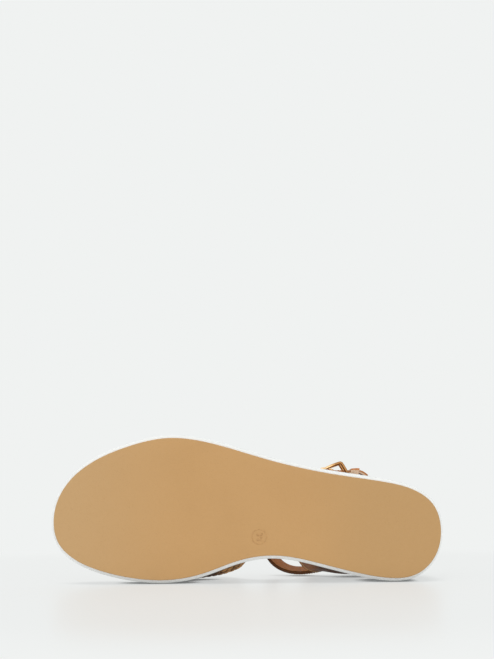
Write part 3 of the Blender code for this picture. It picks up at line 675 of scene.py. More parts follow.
@dataclass(frozen=True)
class MetalFinish(Finish):
    """Plated metal with faint polishing lines, its heel-side leg darkened by a painted dark reflection."""

    body: Colour = (0.940, 0.650, 0.350)
    deep: Colour = (0.720, 0.430, 0.190)
    # Painted dark reflection towards the heel
    painted_dark_reflection: Colour = (0.420, 0.215, 0.080)
    painted_dark_reflection_along: Range = (0.0595, 0.0625)
    cloud: float = 3.0
    cloud_range: Range = (0.35, 0.7)
    polish: float = 0.9
    roughness: Range = (0.12, 0.24)
    line: float = 0.25
    line_stretch: Place = (1.0, 6.0, 6.0)
    line_depth: float = 0.006

    def build(self, sheet: ShaderSheet) -> None:
        """Fills the sheet's nodes."""
        cloud = sheet.mapped(sheet.noise(self.cloud, 3.0), self.cloud_range)
        gold = sheet.blended(cloud, self.body, self.deep)
        # Painted dark reflection on the heel-side leg of the frame
        heelwards = sheet.mapped(sheet.axis("X"), self.painted_dark_reflection_along)
        sheet.feed("Base Color", sheet.blended(heelwards, gold, self.painted_dark_reflection))
        sheet.feed("Metallic", 1.0)
        sheet.feed("Roughness", sheet.mapped(sheet.noise(self.polish, 3.0), NOISE_WIDE, self.roughness))
        lines = sheet.noise(self.line, 1.0, 0.5, self.line_stretch)
        sheet.relief([(lines, self.line_depth)])


@dataclass(frozen=True)
class ThreadFinish(Finish):
    """Waxed sewing thread with a visible twist."""

    body: Colour = (0.640, 0.400, 0.170)
    dark: Colour = (0.400, 0.220, 0.080)
    twist: float = 0.28
    twist_depth: float = 0.05
    roughness: float = 0.5

    def build(self, sheet: ShaderSheet) -> None:
        """Fills the sheet's nodes."""
        twist = sheet.noise(self.twist)
        sheet.feed("Base Color", sheet.blended(sheet.mapped(twist, NOISE_NARROW), self.dark, self.body))
        sheet.feed("Roughness", self.roughness)
        sheet.relief([(twist, self.twist_depth)])


TAN_SOLE = RubberFinish("tan sole rubber", Slot.TAN_RUBBER)
# The size mark's darker colour with small paler patches is painted shade and highlight of its low relief
SOLE_MARK = RubberFinish(
    "sole mark rubber", Slot.TAN_RUBBER, body=(0.450, 0.246, 0.093), cloud=(0.580, 0.335, 0.137), patch=2.0
)
WHITE_PLATFORM = FoamFinish("white platform foam", Slot.WHITE_FOAM)
FOOTBED = LeatherFinish(
    "footbed leather",
    Slot.FOOTBED_LEATHER,
    body=(0.360, 0.190, 0.085),
    light=(0.440, 0.245, 0.115),
    dark=(0.240, 0.115, 0.050),
    grain=1.1,
    grain_depth=0.035,
    roughness=(0.50, 0.66),
    coat=0.0,
)
RAW_EDGE = (0.780, 0.620, 0.450)
DYED_EDGE = (0.620, 0.300, 0.130)
QUARTER_LEATHER = LeatherFinish(
    "quarter leather",
    Slot.BROWN_LEATHER,
    dark=(0.060, 0.020, 0.006),
    coat=0.02,
    specular=0.16,
    # Painted shade on the quarter's floor side towards the heel
    painted_shade=0.95,
    # Lit colour painted on the quarter's top side; its darker body colour is painted shade
    painted_light_top=(0.520, 0.195, 0.062),
    cut_edge=DYED_EDGE,
)
LINING_LEATHER = LeatherFinish(
    "lining leather",
    Slot.BROWN_LEATHER,
    body=(0.405, 0.154, 0.046),
    light=(0.550, 0.238, 0.082),
    dark=(0.200, 0.070, 0.025),
    grain_depth=0.02,
    roughness=(0.55, 0.70),
    coat=0.0,
    specular=0.06,
    cut_edge=RAW_EDGE,
)
WOVEN_LEATHER = LeatherFinish(
    "woven strip leather",
    Slot.BROWN_LEATHER,
    body=(0.640, 0.305, 0.108),
    light=(0.790, 0.430, 0.170),
    dark=(0.036, 0.015, 0.008),
    grain=0.7,
    coat=0.0,
    specular=0.08,
    # Tone attribute: random strip tone plus painted shade
    tone_and_shade_range=0.92,
    # Painted shade on the strap's floor side towards the toe
    painted_shade=0.85,
    painted_shade_along=(-0.013, -0.021),
    painted_shade_up=(0.026, 0.014),
)
TRIM_LEATHER = LeatherFinish(
    "trim leather",
    Slot.BROWN_LEATHER,
    body=(0.520, 0.180, 0.052),
    light=(0.620, 0.240, 0.078),
    dark=(0.250, 0.085, 0.028),
    specular=0.2,
    cut_edge=RAW_EDGE,
)
GOLD_BUCKLE = MetalFinish("gold buckle metal", Slot.GOLD_METAL)
OCHRE_THREAD = ThreadFinish("ochre thread", Slot.BROWN_LEATHER)


def deselect_all() -> None:
    """Leaves nothing selected, in object mode."""
    if bpy.context.object and bpy.context.object.mode != "OBJECT":
        bpy.ops.object.mode_set(mode="OBJECT")
    bpy.ops.object.select_all(action="DESELECT")


def choose(piece: Piece) -> None:
    """Makes one object the selected and active one."""
    deselect_all()
    piece.select_set(True)
    bpy.context.view_layer.objects.active = piece


def apply_modifier(piece: Piece, kind: str, **settings: object) -> None:
    """Adds a modifier with settings and applies it."""
    choose(piece)
    modifier = piece.modifiers.new(kind.lower(), kind)
    for name, value in settings.items():
        setattr(modifier, name, value)
    bpy.ops.object.modifier_apply(modifier=modifier.name)


def close_up(piece: Piece) -> None:
    """Merges a shape's doubled points and turns its faces outwards."""
    choose(piece)
    bpy.ops.object.mode_set(mode="EDIT")
    bpy.ops.mesh.select_all(action="SELECT")
    bpy.ops.mesh.remove_doubles(threshold=MERGE)
    bpy.ops.mesh.normals_make_consistent(inside=False)
    bpy.ops.object.mode_set(mode="OBJECT")


def laid_grid(
    name: str, points: Points, last: Last, round_rows: bool = False, round_columns: bool = False
) -> Piece:
    """A grid primitive laid over rows and columns of points.

    Args:
        name: Name of the new object.
        points: Rows by columns of positions, in the sandal's own millimetres.
        last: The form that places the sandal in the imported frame.
        round_rows: Whether the last row meets the first.
        round_columns: Whether the last column meets the first.

    Returns:
        The new object, its place in its mesh.
    """
    if round_rows:
        points = np.concatenate([points, points[:1]], axis=0)
    if round_columns:
        points = np.concatenate([points, points[:, :1]], axis=1)
    rows, columns = points.shape[:2]
    deselect_all()
    bpy.ops.mesh.primitive_grid_add(x_subdivisions=columns - 1, y_subdivisions=rows - 1, size=1.0)
    piece = bpy.context.object
    piece.name = piece.data.name = name
    flat = np.empty(len(piece.data.vertices) * 3, np.float64)
    piece.data.vertices.foreach_get("co", flat)
    flat = flat.reshape(-1, 3)
    column = np.rint((flat[:, 0] + 0.5) * (columns - 1)).astype(int)
    row = np.rint((flat[:, 1] + 0.5) * (rows - 1)).astype(int)
    piece.data.vertices.foreach_set("co", last.row.place(points)[row, column].ravel())
    piece.data.update()
    return piece


def laid_solid(name: str, points: Points, last: Last, round_rows: bool = False) -> Piece:
    """A closed solid from a grid whose columns run all the way round."""
    piece = laid_grid(name, points, last, round_rows, True)
    close_up(piece)
    return piece


def laid_sheet(name: str, points: Points, last: Last, thick: float, edge: float) -> Piece:
    """A sheet of even thickness with rounded edges.

    Args:
        name: Name of the new object.
        points: Rows by columns of positions on the sheet's middle.
        last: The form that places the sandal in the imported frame.
        thick: Thickness in millimetres.
        edge: Radius of the rounded edges in millimetres.

    Returns:
        The new object.
    """
    piece = laid_grid(name, points, last)
    thicken(piece, thick, edge)
    return piece


def thicken(piece: Piece, thick: float, edge: float, segments: int = 3) -> None:
    """Gives an open sheet its thickness and rounded edges, and marks the faces of its cut edge.

    Args:
        piece: The open sheet.
        thick: Thickness in millimetres.
        edge: Radius of the rounded edges in millimetres.
        segments: Steps of the rounding.
    """
    for _ in range(2):
        piece.data.materials.append(None)
    apply_modifier(piece, "SOLIDIFY", thickness=thick * MM, offset=0.0, material_offset_rim=1)
    close_up(piece)
    apply_modifier(
        piece,
        "BEVEL",
        width=edge * MM,
        segments=segments,
        limit_method="ANGLE",
        angle_limit=EDGE_ANGLE,
        use_clamp_overlap=True,
    )
    cut = np.zeros(len(piece.data.polygons), np.int32)
    piece.data.polygons.foreach_get("material_index", cut)
    piece.data.attributes.new("cut", "FLOAT", "FACE").data.foreach_set("value", cut.astype(np.float32))
    piece.data.materials.clear()


def joined(name: str, pieces: Sequence[Piece]) -> Piece:
    """Several objects as one."""
    deselect_all()
    for piece in pieces:
        piece.select_set(True)
    bpy.context.view_layer.objects.active = pieces[0]
    bpy.ops.object.join()
    whole = bpy.context.object
    whole.name = whole.data.name = name
    return whole


def tube_rings(path: Points, radii: Points, sides: int, closed: bool) -> Points:
    """Rings of points round a path.

    Args:
        path: Centre line.
        radii: Radius at each of its points.
        sides: Points in each ring.
        closed: Whether the path runs back to its start.

    Returns:
        Rows of rings, with both ends drawn together where the path is open.
    """
    if closed:
        tangent = unit(np.roll(path, -1, axis=0) - np.roll(path, 1, axis=0))
    else:
        tangent = unit(np.gradient(path, axis=0))
    side = np.zeros_like(path)
    side[0] = np.cross(tangent[0], FIRST_SIDE)
    for i in range(len(path)):
        if i:
            side[i] = side[i - 1]
        side[i] -= tangent[i] * np.dot(side[i], tangent[i])
        side[i] /= np.linalg.norm(side[i])
    other = np.cross(tangent, side)
    angle = np.linspace(0.0, 2.0 * math.pi, sides, endpoint=False)
    rounds = side[:, None] * np.cos(angle)[None, :, None] + other[:, None] * np.sin(angle)[None, :, None]
    rings = path[:, None] + rounds * np.asarray(radii, float)[:, None, None]
    if closed:
        return rings
    first = np.repeat(path[:1, None], sides, axis=1)
    last = np.repeat(path[-1:, None], sides, axis=1)
    return np.concatenate([first, rings, last], axis=0)


def filled(rings: Sequence[Points], steps: int) -> Points:
    """Rings of a solid with rows added that draw both ends together along the middle line.

    Args:
        rings: Closed loops from end to end, each with its inner side first and its outer side back.
        steps: Rows from a rim to the middle line.

    Returns:
        All rows, end to end.
    """

    def inward(ring: Points) -> list[Points]:
        """Rows from a rim to its middle line."""
        opposite = np.roll(ring[::-1], 1, axis=0)
        middle = (ring + opposite) / 2.0
        return [ring + (middle - ring) * (k / steps) for k in range(1, steps + 1)]

    return np.stack([*inward(rings[0])[::-1], *rings, *inward(rings[-1])])


def dress(piece: Piece, finish: Finish, *nodes: str) -> None:
    """Finishes a piece: material, smooth shading, body and the nodes that it stands for."""
    choose(piece)
    piece.data.materials.clear()
    piece.data.materials.append(finish.material())
    bpy.ops.object.shade_smooth_by_angle(angle=SMOOTH_ANGLE)
    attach(piece, BODY)
    if nodes:
        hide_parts(*nodes)
    LOG.info("%s: %d faces", piece.name, len(piece.data.polygons))


@dataclass
class StitchRow:
    """A row of sewing stitches along a line on a surface."""

    pitch: float = 1.75
    length: float = 1.4
    width: float = 0.72
    height: float = 0.62
    slant: float = 0.10
    sag: float = 0.5
    segments: int = 8
    rings: int = 6

    def one(self) -> Piece:
        """One stitch at the origin along its first axis, both ends drawn down into the leather."""
        deselect_all()
        bpy.ops.mesh.primitive_uv_sphere_add(segments=self.segments, ring_count=self.rings, radius=0.5)
        stitch = bpy.context.object
        for vertex in stitch.data.vertices:
            across, upward, along = vertex.co
            sunk = self.height * (2.0 * along) ** 2 * self.sag
            vertex.co = (along * self.length, across * self.width, upward * self.height - sunk)
        return stitch

    def along(self, line: Points, normal: Points) -> tuple[Points, Points, Points, Points]:
        """Centres and axes of the stitches.

        Args:
            line: Points of the line, in the sandal's own millimetres.
            normal: Surface normal at each of them.

        Returns:
            Centre, direction, side and normal of each stitch.
        """
        marks = np.concatenate([[0.0], np.cumsum(np.linalg.norm(np.diff(line, axis=0), axis=1))])
        count = max(1, int(marks[-1] / self.pitch))
        where = (np.arange(count) + 0.5) * marks[-1] / count
        centre = read_along(where, marks, line)
        up = unit(read_along(where, marks, normal))
        run = unit(read_along(where + PROBE, marks, line) - read_along(where - PROBE, marks, line))
        side = unit(np.cross(up, run))
        return centre, unit(run + side * self.slant), unit(side - run * self.slant), up

    def sew(self, name: str, lines: Sequence[tuple[Points, Points]], last: Last) -> Piece:
        """All stitches of several lines as one object.

        Args:
            name: Name of the new object.
            lines: Each line's points and surface normals.
            last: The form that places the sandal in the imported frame.

        Returns:
            The new object.
        """
        stitch = self.one()
        copies = []
        for line, normal in lines:
            for centre, run, side, up in zip(*self.along(line, normal)):
                copy = bpy.data.objects.new(name, stitch.data.copy())
                corners = np.array([vertex.co[:] for vertex in stitch.data.vertices])
                placed = last.row.place(centre + corners @ np.stack([run, side, up]))
                copy.data.vertices.foreach_set("co", placed.ravel())
                bpy.context.scene.collection.objects.link(copy)
                copies.append(copy)
        bpy.data.objects.remove(stitch)
        piece = joined(name, copies)
        close_up(piece)
        return piece


@dataclass
class Sole:
    """Tan tread plate, white platform and the footbed on it."""

    last: Last
    edge: float = 0.7
    edge_steps: int = 5
    upper_edge: float = 0.25
    insole_thick: float = 3.5
    insole_edge: float = 1.2
    insole_inset: float = 4.4
    heel_dish: float = 0.9
    heel_dish_along: float = 34.0
    heel_dish_reach: float = 26.0
    ball_dish: float = 0.5
    ball_dish_along: float = 172.0
    ball_dish_reach: float = 34.0
    wall_rows: int = 44
    fill_steps: int = 4
    footbed_steps: int = 14
    ring_radius: float = 4.7
    ring_line: float = 0.26
    ring_segments: int = 96
    ring_sides: int = 10
    size_number: str = "38"
    mark_height: float = 0.2
    stamp_along: float = 117.0
    stamp_across: float = 3.6
    digit_size: float = 5.6
    groove_share: float = 0.475
    groove_depth: float = 0.9
    groove_half: float = 0.026
    groove_reach: float = 2.2
    groove_samples: int = 13
    belly: float = 2.4
    side_profile: list[SideRow] = field(
        default_factory=lambda: [
            SideRow("foot", 0.00, 0.5),
            SideRow("foot round", 0.03, 1.3),
            SideRow("lower round", 0.12, 2.05),
            SideRow("lower belly", 0.34, 2.4),
            SideRow("upper belly", 0.80, 2.4),
            SideRow("upper round", 0.94, 1.7),
            SideRow("rim", 1.00, 0.4),
        ]
    )

    def build(self) -> None:
        """Makes and dresses the sole's pieces."""
        dress(self.tread_plate(), TAN_SOLE, "outsole")
        dress(self.platform(), WHITE_PLATFORM, "midsole")
        dress(self.footbed(), FOOTBED, "insole")
        dress(self.size_mark(), SOLE_MARK)

    def tread_plate(self) -> Piece:
        """Tread plate with a rounded lower edge."""
        last = self.last
        profile = []
        for step in range(self.edge_steps + 1):
            angle = 0.5 * math.pi * step / self.edge_steps
            profile.append((self.edge * (math.sin(angle) - 1.0), self.edge * (1.0 - math.cos(angle))))
        profile.append((0.0, last.outsole_thick - self.upper_edge))
        profile.append((-self.upper_edge, last.outsole_thick))
        rings = []
        for outset, rise in profile:
            rings.append(last.side_ring(outset, lambda along, rise=rise: last.toe_lift(along) + rise))
        return laid_solid("tread_plate", filled(rings, self.fill_steps), last)

    def platform(self) -> Piece:
        """Platform block with its convex, grooved side wall."""
        last = self.last
        shares = np.linspace(0.0, 1.0, self.wall_rows)
        spread = np.linspace(-self.groove_reach, self.groove_reach, self.groove_samples)
        groove = self.groove_share + self.groove_half * spread
        rings = []
        for share in np.unique(np.concatenate([shares, groove])):

            def level(along: Points, share: float = share) -> Points:
                """Height of a row of the side wall."""
                bottom = last.toe_lift(along) + last.outsole_thick + last.fit_gap
                return bottom + share * (last.platform_top(along) - bottom)

            rings.append(last.side_ring(self.wall_outset(share), level))
        return laid_solid("platform", filled(rings, self.fill_steps), last)

    def wall_outset(self, share: float) -> float:
        """Stand-out of the platform's side wall at a share of its height."""
        shares = table_column(self.side_profile, "share")
        outsets = table_column(self.side_profile, "outset")
        belly = min(float(smooth_table(share, shares, outsets)), self.belly)
        from_groove = (share - self.groove_share) / self.groove_half
        return belly - self.groove_depth * math.exp(-(from_groove**2))

    def dish(self, points: Points) -> Points:
        """The footbed's rows with shallow hollows under heel and ball."""
        inner = self.last.tread.inner_across(points[..., 0])
        outer = self.last.tread.outer_across(points[..., 0])
        middle, half = (inner + outer) / 2.0, np.maximum((inner - outer) / 2.0, 1.0)
        wide = np.clip(1.0 - ((points[..., 1] - middle) / (half - self.insole_inset)) ** 2, 0.0, 1.0)
        from_heel = (points[..., 0] - self.heel_dish_along) / self.heel_dish_reach
        from_ball = (points[..., 0] - self.ball_dish_along) / self.ball_dish_reach
        heel = self.heel_dish * np.exp(-(from_heel**2))
        ball = self.ball_dish * np.exp(-(from_ball**2))
        sunk = points.copy()
        sunk[..., 2] -= (heel + ball) * smoothstep(wide)
        return sunk

    def footbed(self) -> Piece:
        """Footbed board with a rounded upper edge and shallow hollows."""
        last = self.last
        rings = [last.side_ring(-self.insole_inset, last.rim_up)]
        top = self.insole_thick - self.insole_edge
        for step in range(self.edge_steps + 1):
            angle = 0.5 * math.pi * step / self.edge_steps
            inset = self.insole_inset + self.insole_edge * (1.0 - math.cos(angle))
            rise = top + self.insole_edge * math.sin(angle)
            rings.append(last.side_ring(-inset, lambda along, rise=rise: last.rim_up(along) + rise))
        rows = filled(rings, self.footbed_steps)
        rows[-self.footbed_steps :] = self.dish(rows[-self.footbed_steps :])
        return laid_solid("footbed", rows, last)

    def mark_matrix(self) -> Matrix:
        """Place of the size mark on the tread: read with the heel at the top, its third axis outwards."""
        text_right, text_up = Vector((0.0, 0.0, -1.0)), Vector((1.0, 0.0, 0.0))
        out = Vector((0.0, -1.0, 0.0))
        spot = self.last.row.place(np.array([self.stamp_along, self.stamp_across, 0.0]))
        return Matrix.Translation(Vector(spot)) @ Matrix((text_right, text_up, out)).transposed().to_4x4()

    def size_mark(self) -> Piece:
        """Raised ring with a plain size number."""
        deselect_all()
        bpy.ops.mesh.primitive_torus_add(
            major_segments=self.ring_segments,
            minor_segments=self.ring_sides,
            major_radius=self.ring_radius * MM,
            minor_radius=self.ring_line * MM,
        )
        ring = bpy.context.object
        ring.data.transform(Matrix.Diagonal((1.0, 1.0, self.mark_height / self.ring_line, 1.0)))
        bpy.ops.object.text_add()
        digits = bpy.context.object
        digits.data.body = self.size_number
        digits.data.size = self.digit_size * MM
        digits.data.align_x = "CENTER"
        digits.data.align_y = "CENTER"
        digits.data.extrude = 0.5 * self.mark_height * MM
        digits.data.bevel_depth = 0.5 * self.mark_height * MM
        digits.data.bevel_resolution = 2
        choose(digits)
        bpy.ops.object.convert(target="MESH")
        mark = joined("size_mark", [bpy.context.object, ring])
        mark.data.transform(self.mark_matrix())
        close_up(mark)
        return mark


@dataclass
class FrontStrap:
    """Woven strap over the forefoot: a lining and flat strips that pass over and under each other."""

    last: Last
    wall: float = 2.2
    crown_shift: float = 5.0
    swell_height: float = 15.0
    swell_outer: float = 1.0
    swell_least: float = 0.5
    weave_rows: int = 46
    weave_columns: int = 15
    lining_thick: float = 0.8
    strip_thick: float = 0.72
    strip_share: float = 0.89
    strip_edge: float = 0.2
    strip_middle: float = 1.62
    strip_wave: float = 0.55
    fold_share: float = 0.74
    crown: float = 0.40
    steps_each: int = 5
    strip_columns: int = 5
    normal_step: float = 0.004
    strip_inset: float = 0.004
    turn_inset: float = 0.002
    wave_flat: float = 2.2
    fold_reach: tuple[float, ...] = (0.010, 0.014, 0.010)
    fold_off: tuple[float, ...] = (0.35, 0.9, 1.5)
    lining_points: tuple[int, int] = (120, 24)
    lining_inset: Range = (0.003, 0.012)
    lining_edge: float = 0.3
    border_from: float = 0.4
    tone_seed: int = 7
    tone_draw: float = 0.7
    tone_power: float = 1.5
    # Painted shade at strip borders and where a strip dives under another
    painted_shade_border: float = 0.45
    painted_shade_dive: float = 0.8
    edges: list[StrapEdge] = field(
        default_factory=lambda: [
            StrapEdge("inner base", 123.0, 184.0),
            StrapEdge("crown", 136.0, 190.0),
            StrapEdge("outer base", 116.0, 172.0),
        ]
    )
    form: list[FrontRow] = field(
        default_factory=lambda: [
            FrontRow(112.0, 58.0, 19.0),
            FrontRow(125.0, 55.0, 22.0),
            FrontRow(132.0, 52.5, 25.8),
            FrontRow(140.0, 49.5, 28.7),
            FrontRow(155.0, 44.0, 31.2),
            FrontRow(170.0, 39.5, 32.6),
            FrontRow(195.0, 32.0, 31.4),
        ]
    )

    def build(self) -> None:
        """Makes and dresses the strap's pieces."""
        draw = np.random.default_rng(self.tone_seed)
        long_strips = [self.lengthwise(column, draw) for column in range(self.weave_columns)]
        cross_strips = [self.crosswise(row, draw) for row in range(self.weave_rows)]
        dress(self.woven("strips_lengthwise", long_strips), WOVEN_LEATHER, "upper_front_strap")
        dress(self.woven("strips_crosswise", cross_strips), WOVEN_LEATHER)
        dress(self.lining(), LINING_LEATHER)

    def inside(self, turn: Points, edge: Points) -> Points:
        """Inner face of the strap.

        Args:
            turn: Share of the way from the inner base over the foot to the outer base.
            edge: Share of the way from the rear edge to the front edge.

        Returns:
            Points in the sandal's own millimetres.
        """
        turns = np.linspace(0.0, 1.0, len(self.edges))
        rear = np.polyfit(turns, table_column(self.edges, "rear"), 2)
        front = np.polyfit(turns, table_column(self.edges, "front"), 2)
        along = (1.0 - edge) * np.polyval(rear, turn) + edge * np.polyval(front, turn)
        inner = self.last.strap_base.inner_across(along)
        outer = self.last.strap_base.outer_across(along)
        middle, half = (inner + outer) / 2.0, (inner - outer) / 2.0
        places = table_column(self.form, "along")
        crown = smooth_table(along, places, table_column(self.form, "height"))
        reach = smooth_table(along, places, table_column(self.form, "inner_reach"))
        swell = np.maximum(reach - self.wall - inner, self.swell_least)
        start = -np.arccos(half / (half + swell))
        end = math.pi + np.arccos(half / (half + self.swell_outer))
        angle = start + turn * (end - start)
        on_inner = np.cos(angle) > 0.0
        width = half + np.where(on_inner, swell, self.swell_outer)
        low = np.where(on_inner, np.sin(-start), np.sin(end - math.pi))
        above = np.maximum(np.sin(angle), 0.0)
        below = np.minimum(np.sin(angle), 0.0) / low
        across = middle + width * np.cos(angle) + self.crown_shift * above**2
        up = self.last.rim_up(along) + self.swell_height * (1.0 + below)
        up = up + (crown - self.swell_height) * above
        return np.stack([along, across, up], axis=-1)

    def point(self, turn: Points, edge: Points, off: Points) -> Points:
        """Point on the strap at a distance off its inner face."""
        step = self.normal_step
        over = self.inside(turn + step, edge) - self.inside(turn - step, edge)
        ahead = self.inside(turn, edge + step) - self.inside(turn, edge - step)
        normal = unit(np.cross(over, ahead))
        return self.last.above_rim(self.inside(turn, edge) + normal * off[..., None])

    def lining(self) -> Piece:
        """Smooth lining behind the weave."""
        shares = []
        for inset, count in zip(self.lining_inset, self.lining_points):
            shares.append(np.linspace(inset, 1.0 - inset, count))
        turn, edge = np.meshgrid(*shares, indexing="ij")
        grid = self.point(turn, edge, np.full_like(turn, self.lining_thick / 2.0))
        return laid_sheet("front_strap_lining", grid, self.last, self.lining_thick, self.lining_edge)

    def wave(self, count: Points, sign: float) -> Points:
        """Distance off the inner face along a strip that passes over and under at each crossing."""
        swing = np.sin(math.pi * count)
        flat = np.tanh(self.wave_flat * swing) / math.tanh(self.wave_flat)
        return self.strip_middle + self.strip_wave * sign * flat

    def lengthwise(self, column: int, draw: np.random.Generator) -> Piece:
        """One strip that runs over the foot."""
        turn = np.linspace(self.strip_inset, 1.0 - self.strip_inset, self.weave_rows * self.steps_each + 1)
        width = np.linspace(-0.5, 0.5, self.strip_columns) * self.strip_share
        edge = (column + 0.5 + width) / self.weave_columns
        turns, edges = np.meshgrid(turn, edge, indexing="ij")
        sign = 1.0 if column % 2 == 0 else -1.0
        wave = self.wave(turns * self.weave_rows, sign)
        off = wave + self.crown * (1.0 - (2.0 * width) ** 2)[None, :]
        strip = laid_grid(f"strip_long_{column}", self.point(turns, edges, off), self.last)
        return self.toned(strip, wave, width, draw)

    def crosswise(self, row: int, draw: np.random.Generator) -> Piece:
        """One strip that runs from the rear edge to the front edge and turns in round both."""
        count = self.weave_columns
        middle = np.linspace(0.0, 1.0, count * self.steps_each + 1)
        fold = -np.array(self.fold_reach)
        edge = np.concatenate([fold, middle, 1.0 - fold[::-1]])
        drop = np.array(self.fold_off)
        width = np.linspace(-0.5, 0.5, self.strip_columns) * self.strip_share
        narrow = np.ones_like(edge)
        narrow[: len(fold)] = narrow[-len(fold) :] = self.fold_share
        turns = (row + 0.5 + narrow[:, None] * width[None, :]) / self.weave_rows
        turns = np.clip(turns, self.turn_inset, 1.0 - self.turn_inset)
        edges = np.repeat(edge[:, None], len(width), axis=1)
        sign = -1.0 if row % 2 == 0 else 1.0
        line = self.wave(np.clip(edge, 0.0, 1.0) * count, sign)
        line[: len(drop)] = drop
        line[-len(drop) :] = drop[::-1]
        off = line[:, None] + self.crown * (1.0 - (2.0 * width) ** 2)[None, :]
        strip = laid_grid(f"strip_cross_{row}", self.point(turns, edges, off), self.last)
        return self.toned(strip, np.repeat(line[:, None], len(width), axis=1), width, draw)

    def toned(self, strip: Piece, wave: Points, width: Points, draw: np.random.Generator) -> Piece:
        """Gives a strip its own tone, with painted shade along its borders and where it dives under
        another.

        Args:
            strip: The open strip, its points in rows along and columns across.
            wave: Distance off the strap's inner face at each of them.
            width: Place of each column across the strip.
            draw: Source of the strip's own tone.

        Returns:
            The strip, its tone and painted shade in an attribute.
        """
        outwards = np.abs(width) / np.abs(width).max()
        # Painted shade along the strip's borders and where it dives under the crossing strip
        border = smoothstep((outwards - self.border_from) / (1.0 - self.border_from))[None, :]
        dive = smoothstep(0.5 - 0.5 * (wave - self.strip_middle) / self.strip_wave)
        own = self.tone_draw * draw.random() ** self.tone_power
        tone = np.clip(own + self.painted_shade_border * border + self.painted_shade_dive * dive, 0.0, 1.0)
        attribute = strip.data.attributes.new("tone", "FLOAT", "POINT")
        attribute.data.foreach_set("value", tone.astype(np.float32).ravel())
        return strip

    def woven(self, name: str, strips: Sequence[Piece]) -> Piece:
        """Strips of one direction as one piece, with thickness and rounded edges."""
        whole = joined(name, strips)
        thicken(whole, self.strip_thick, self.strip_edge, 2)
        return whole


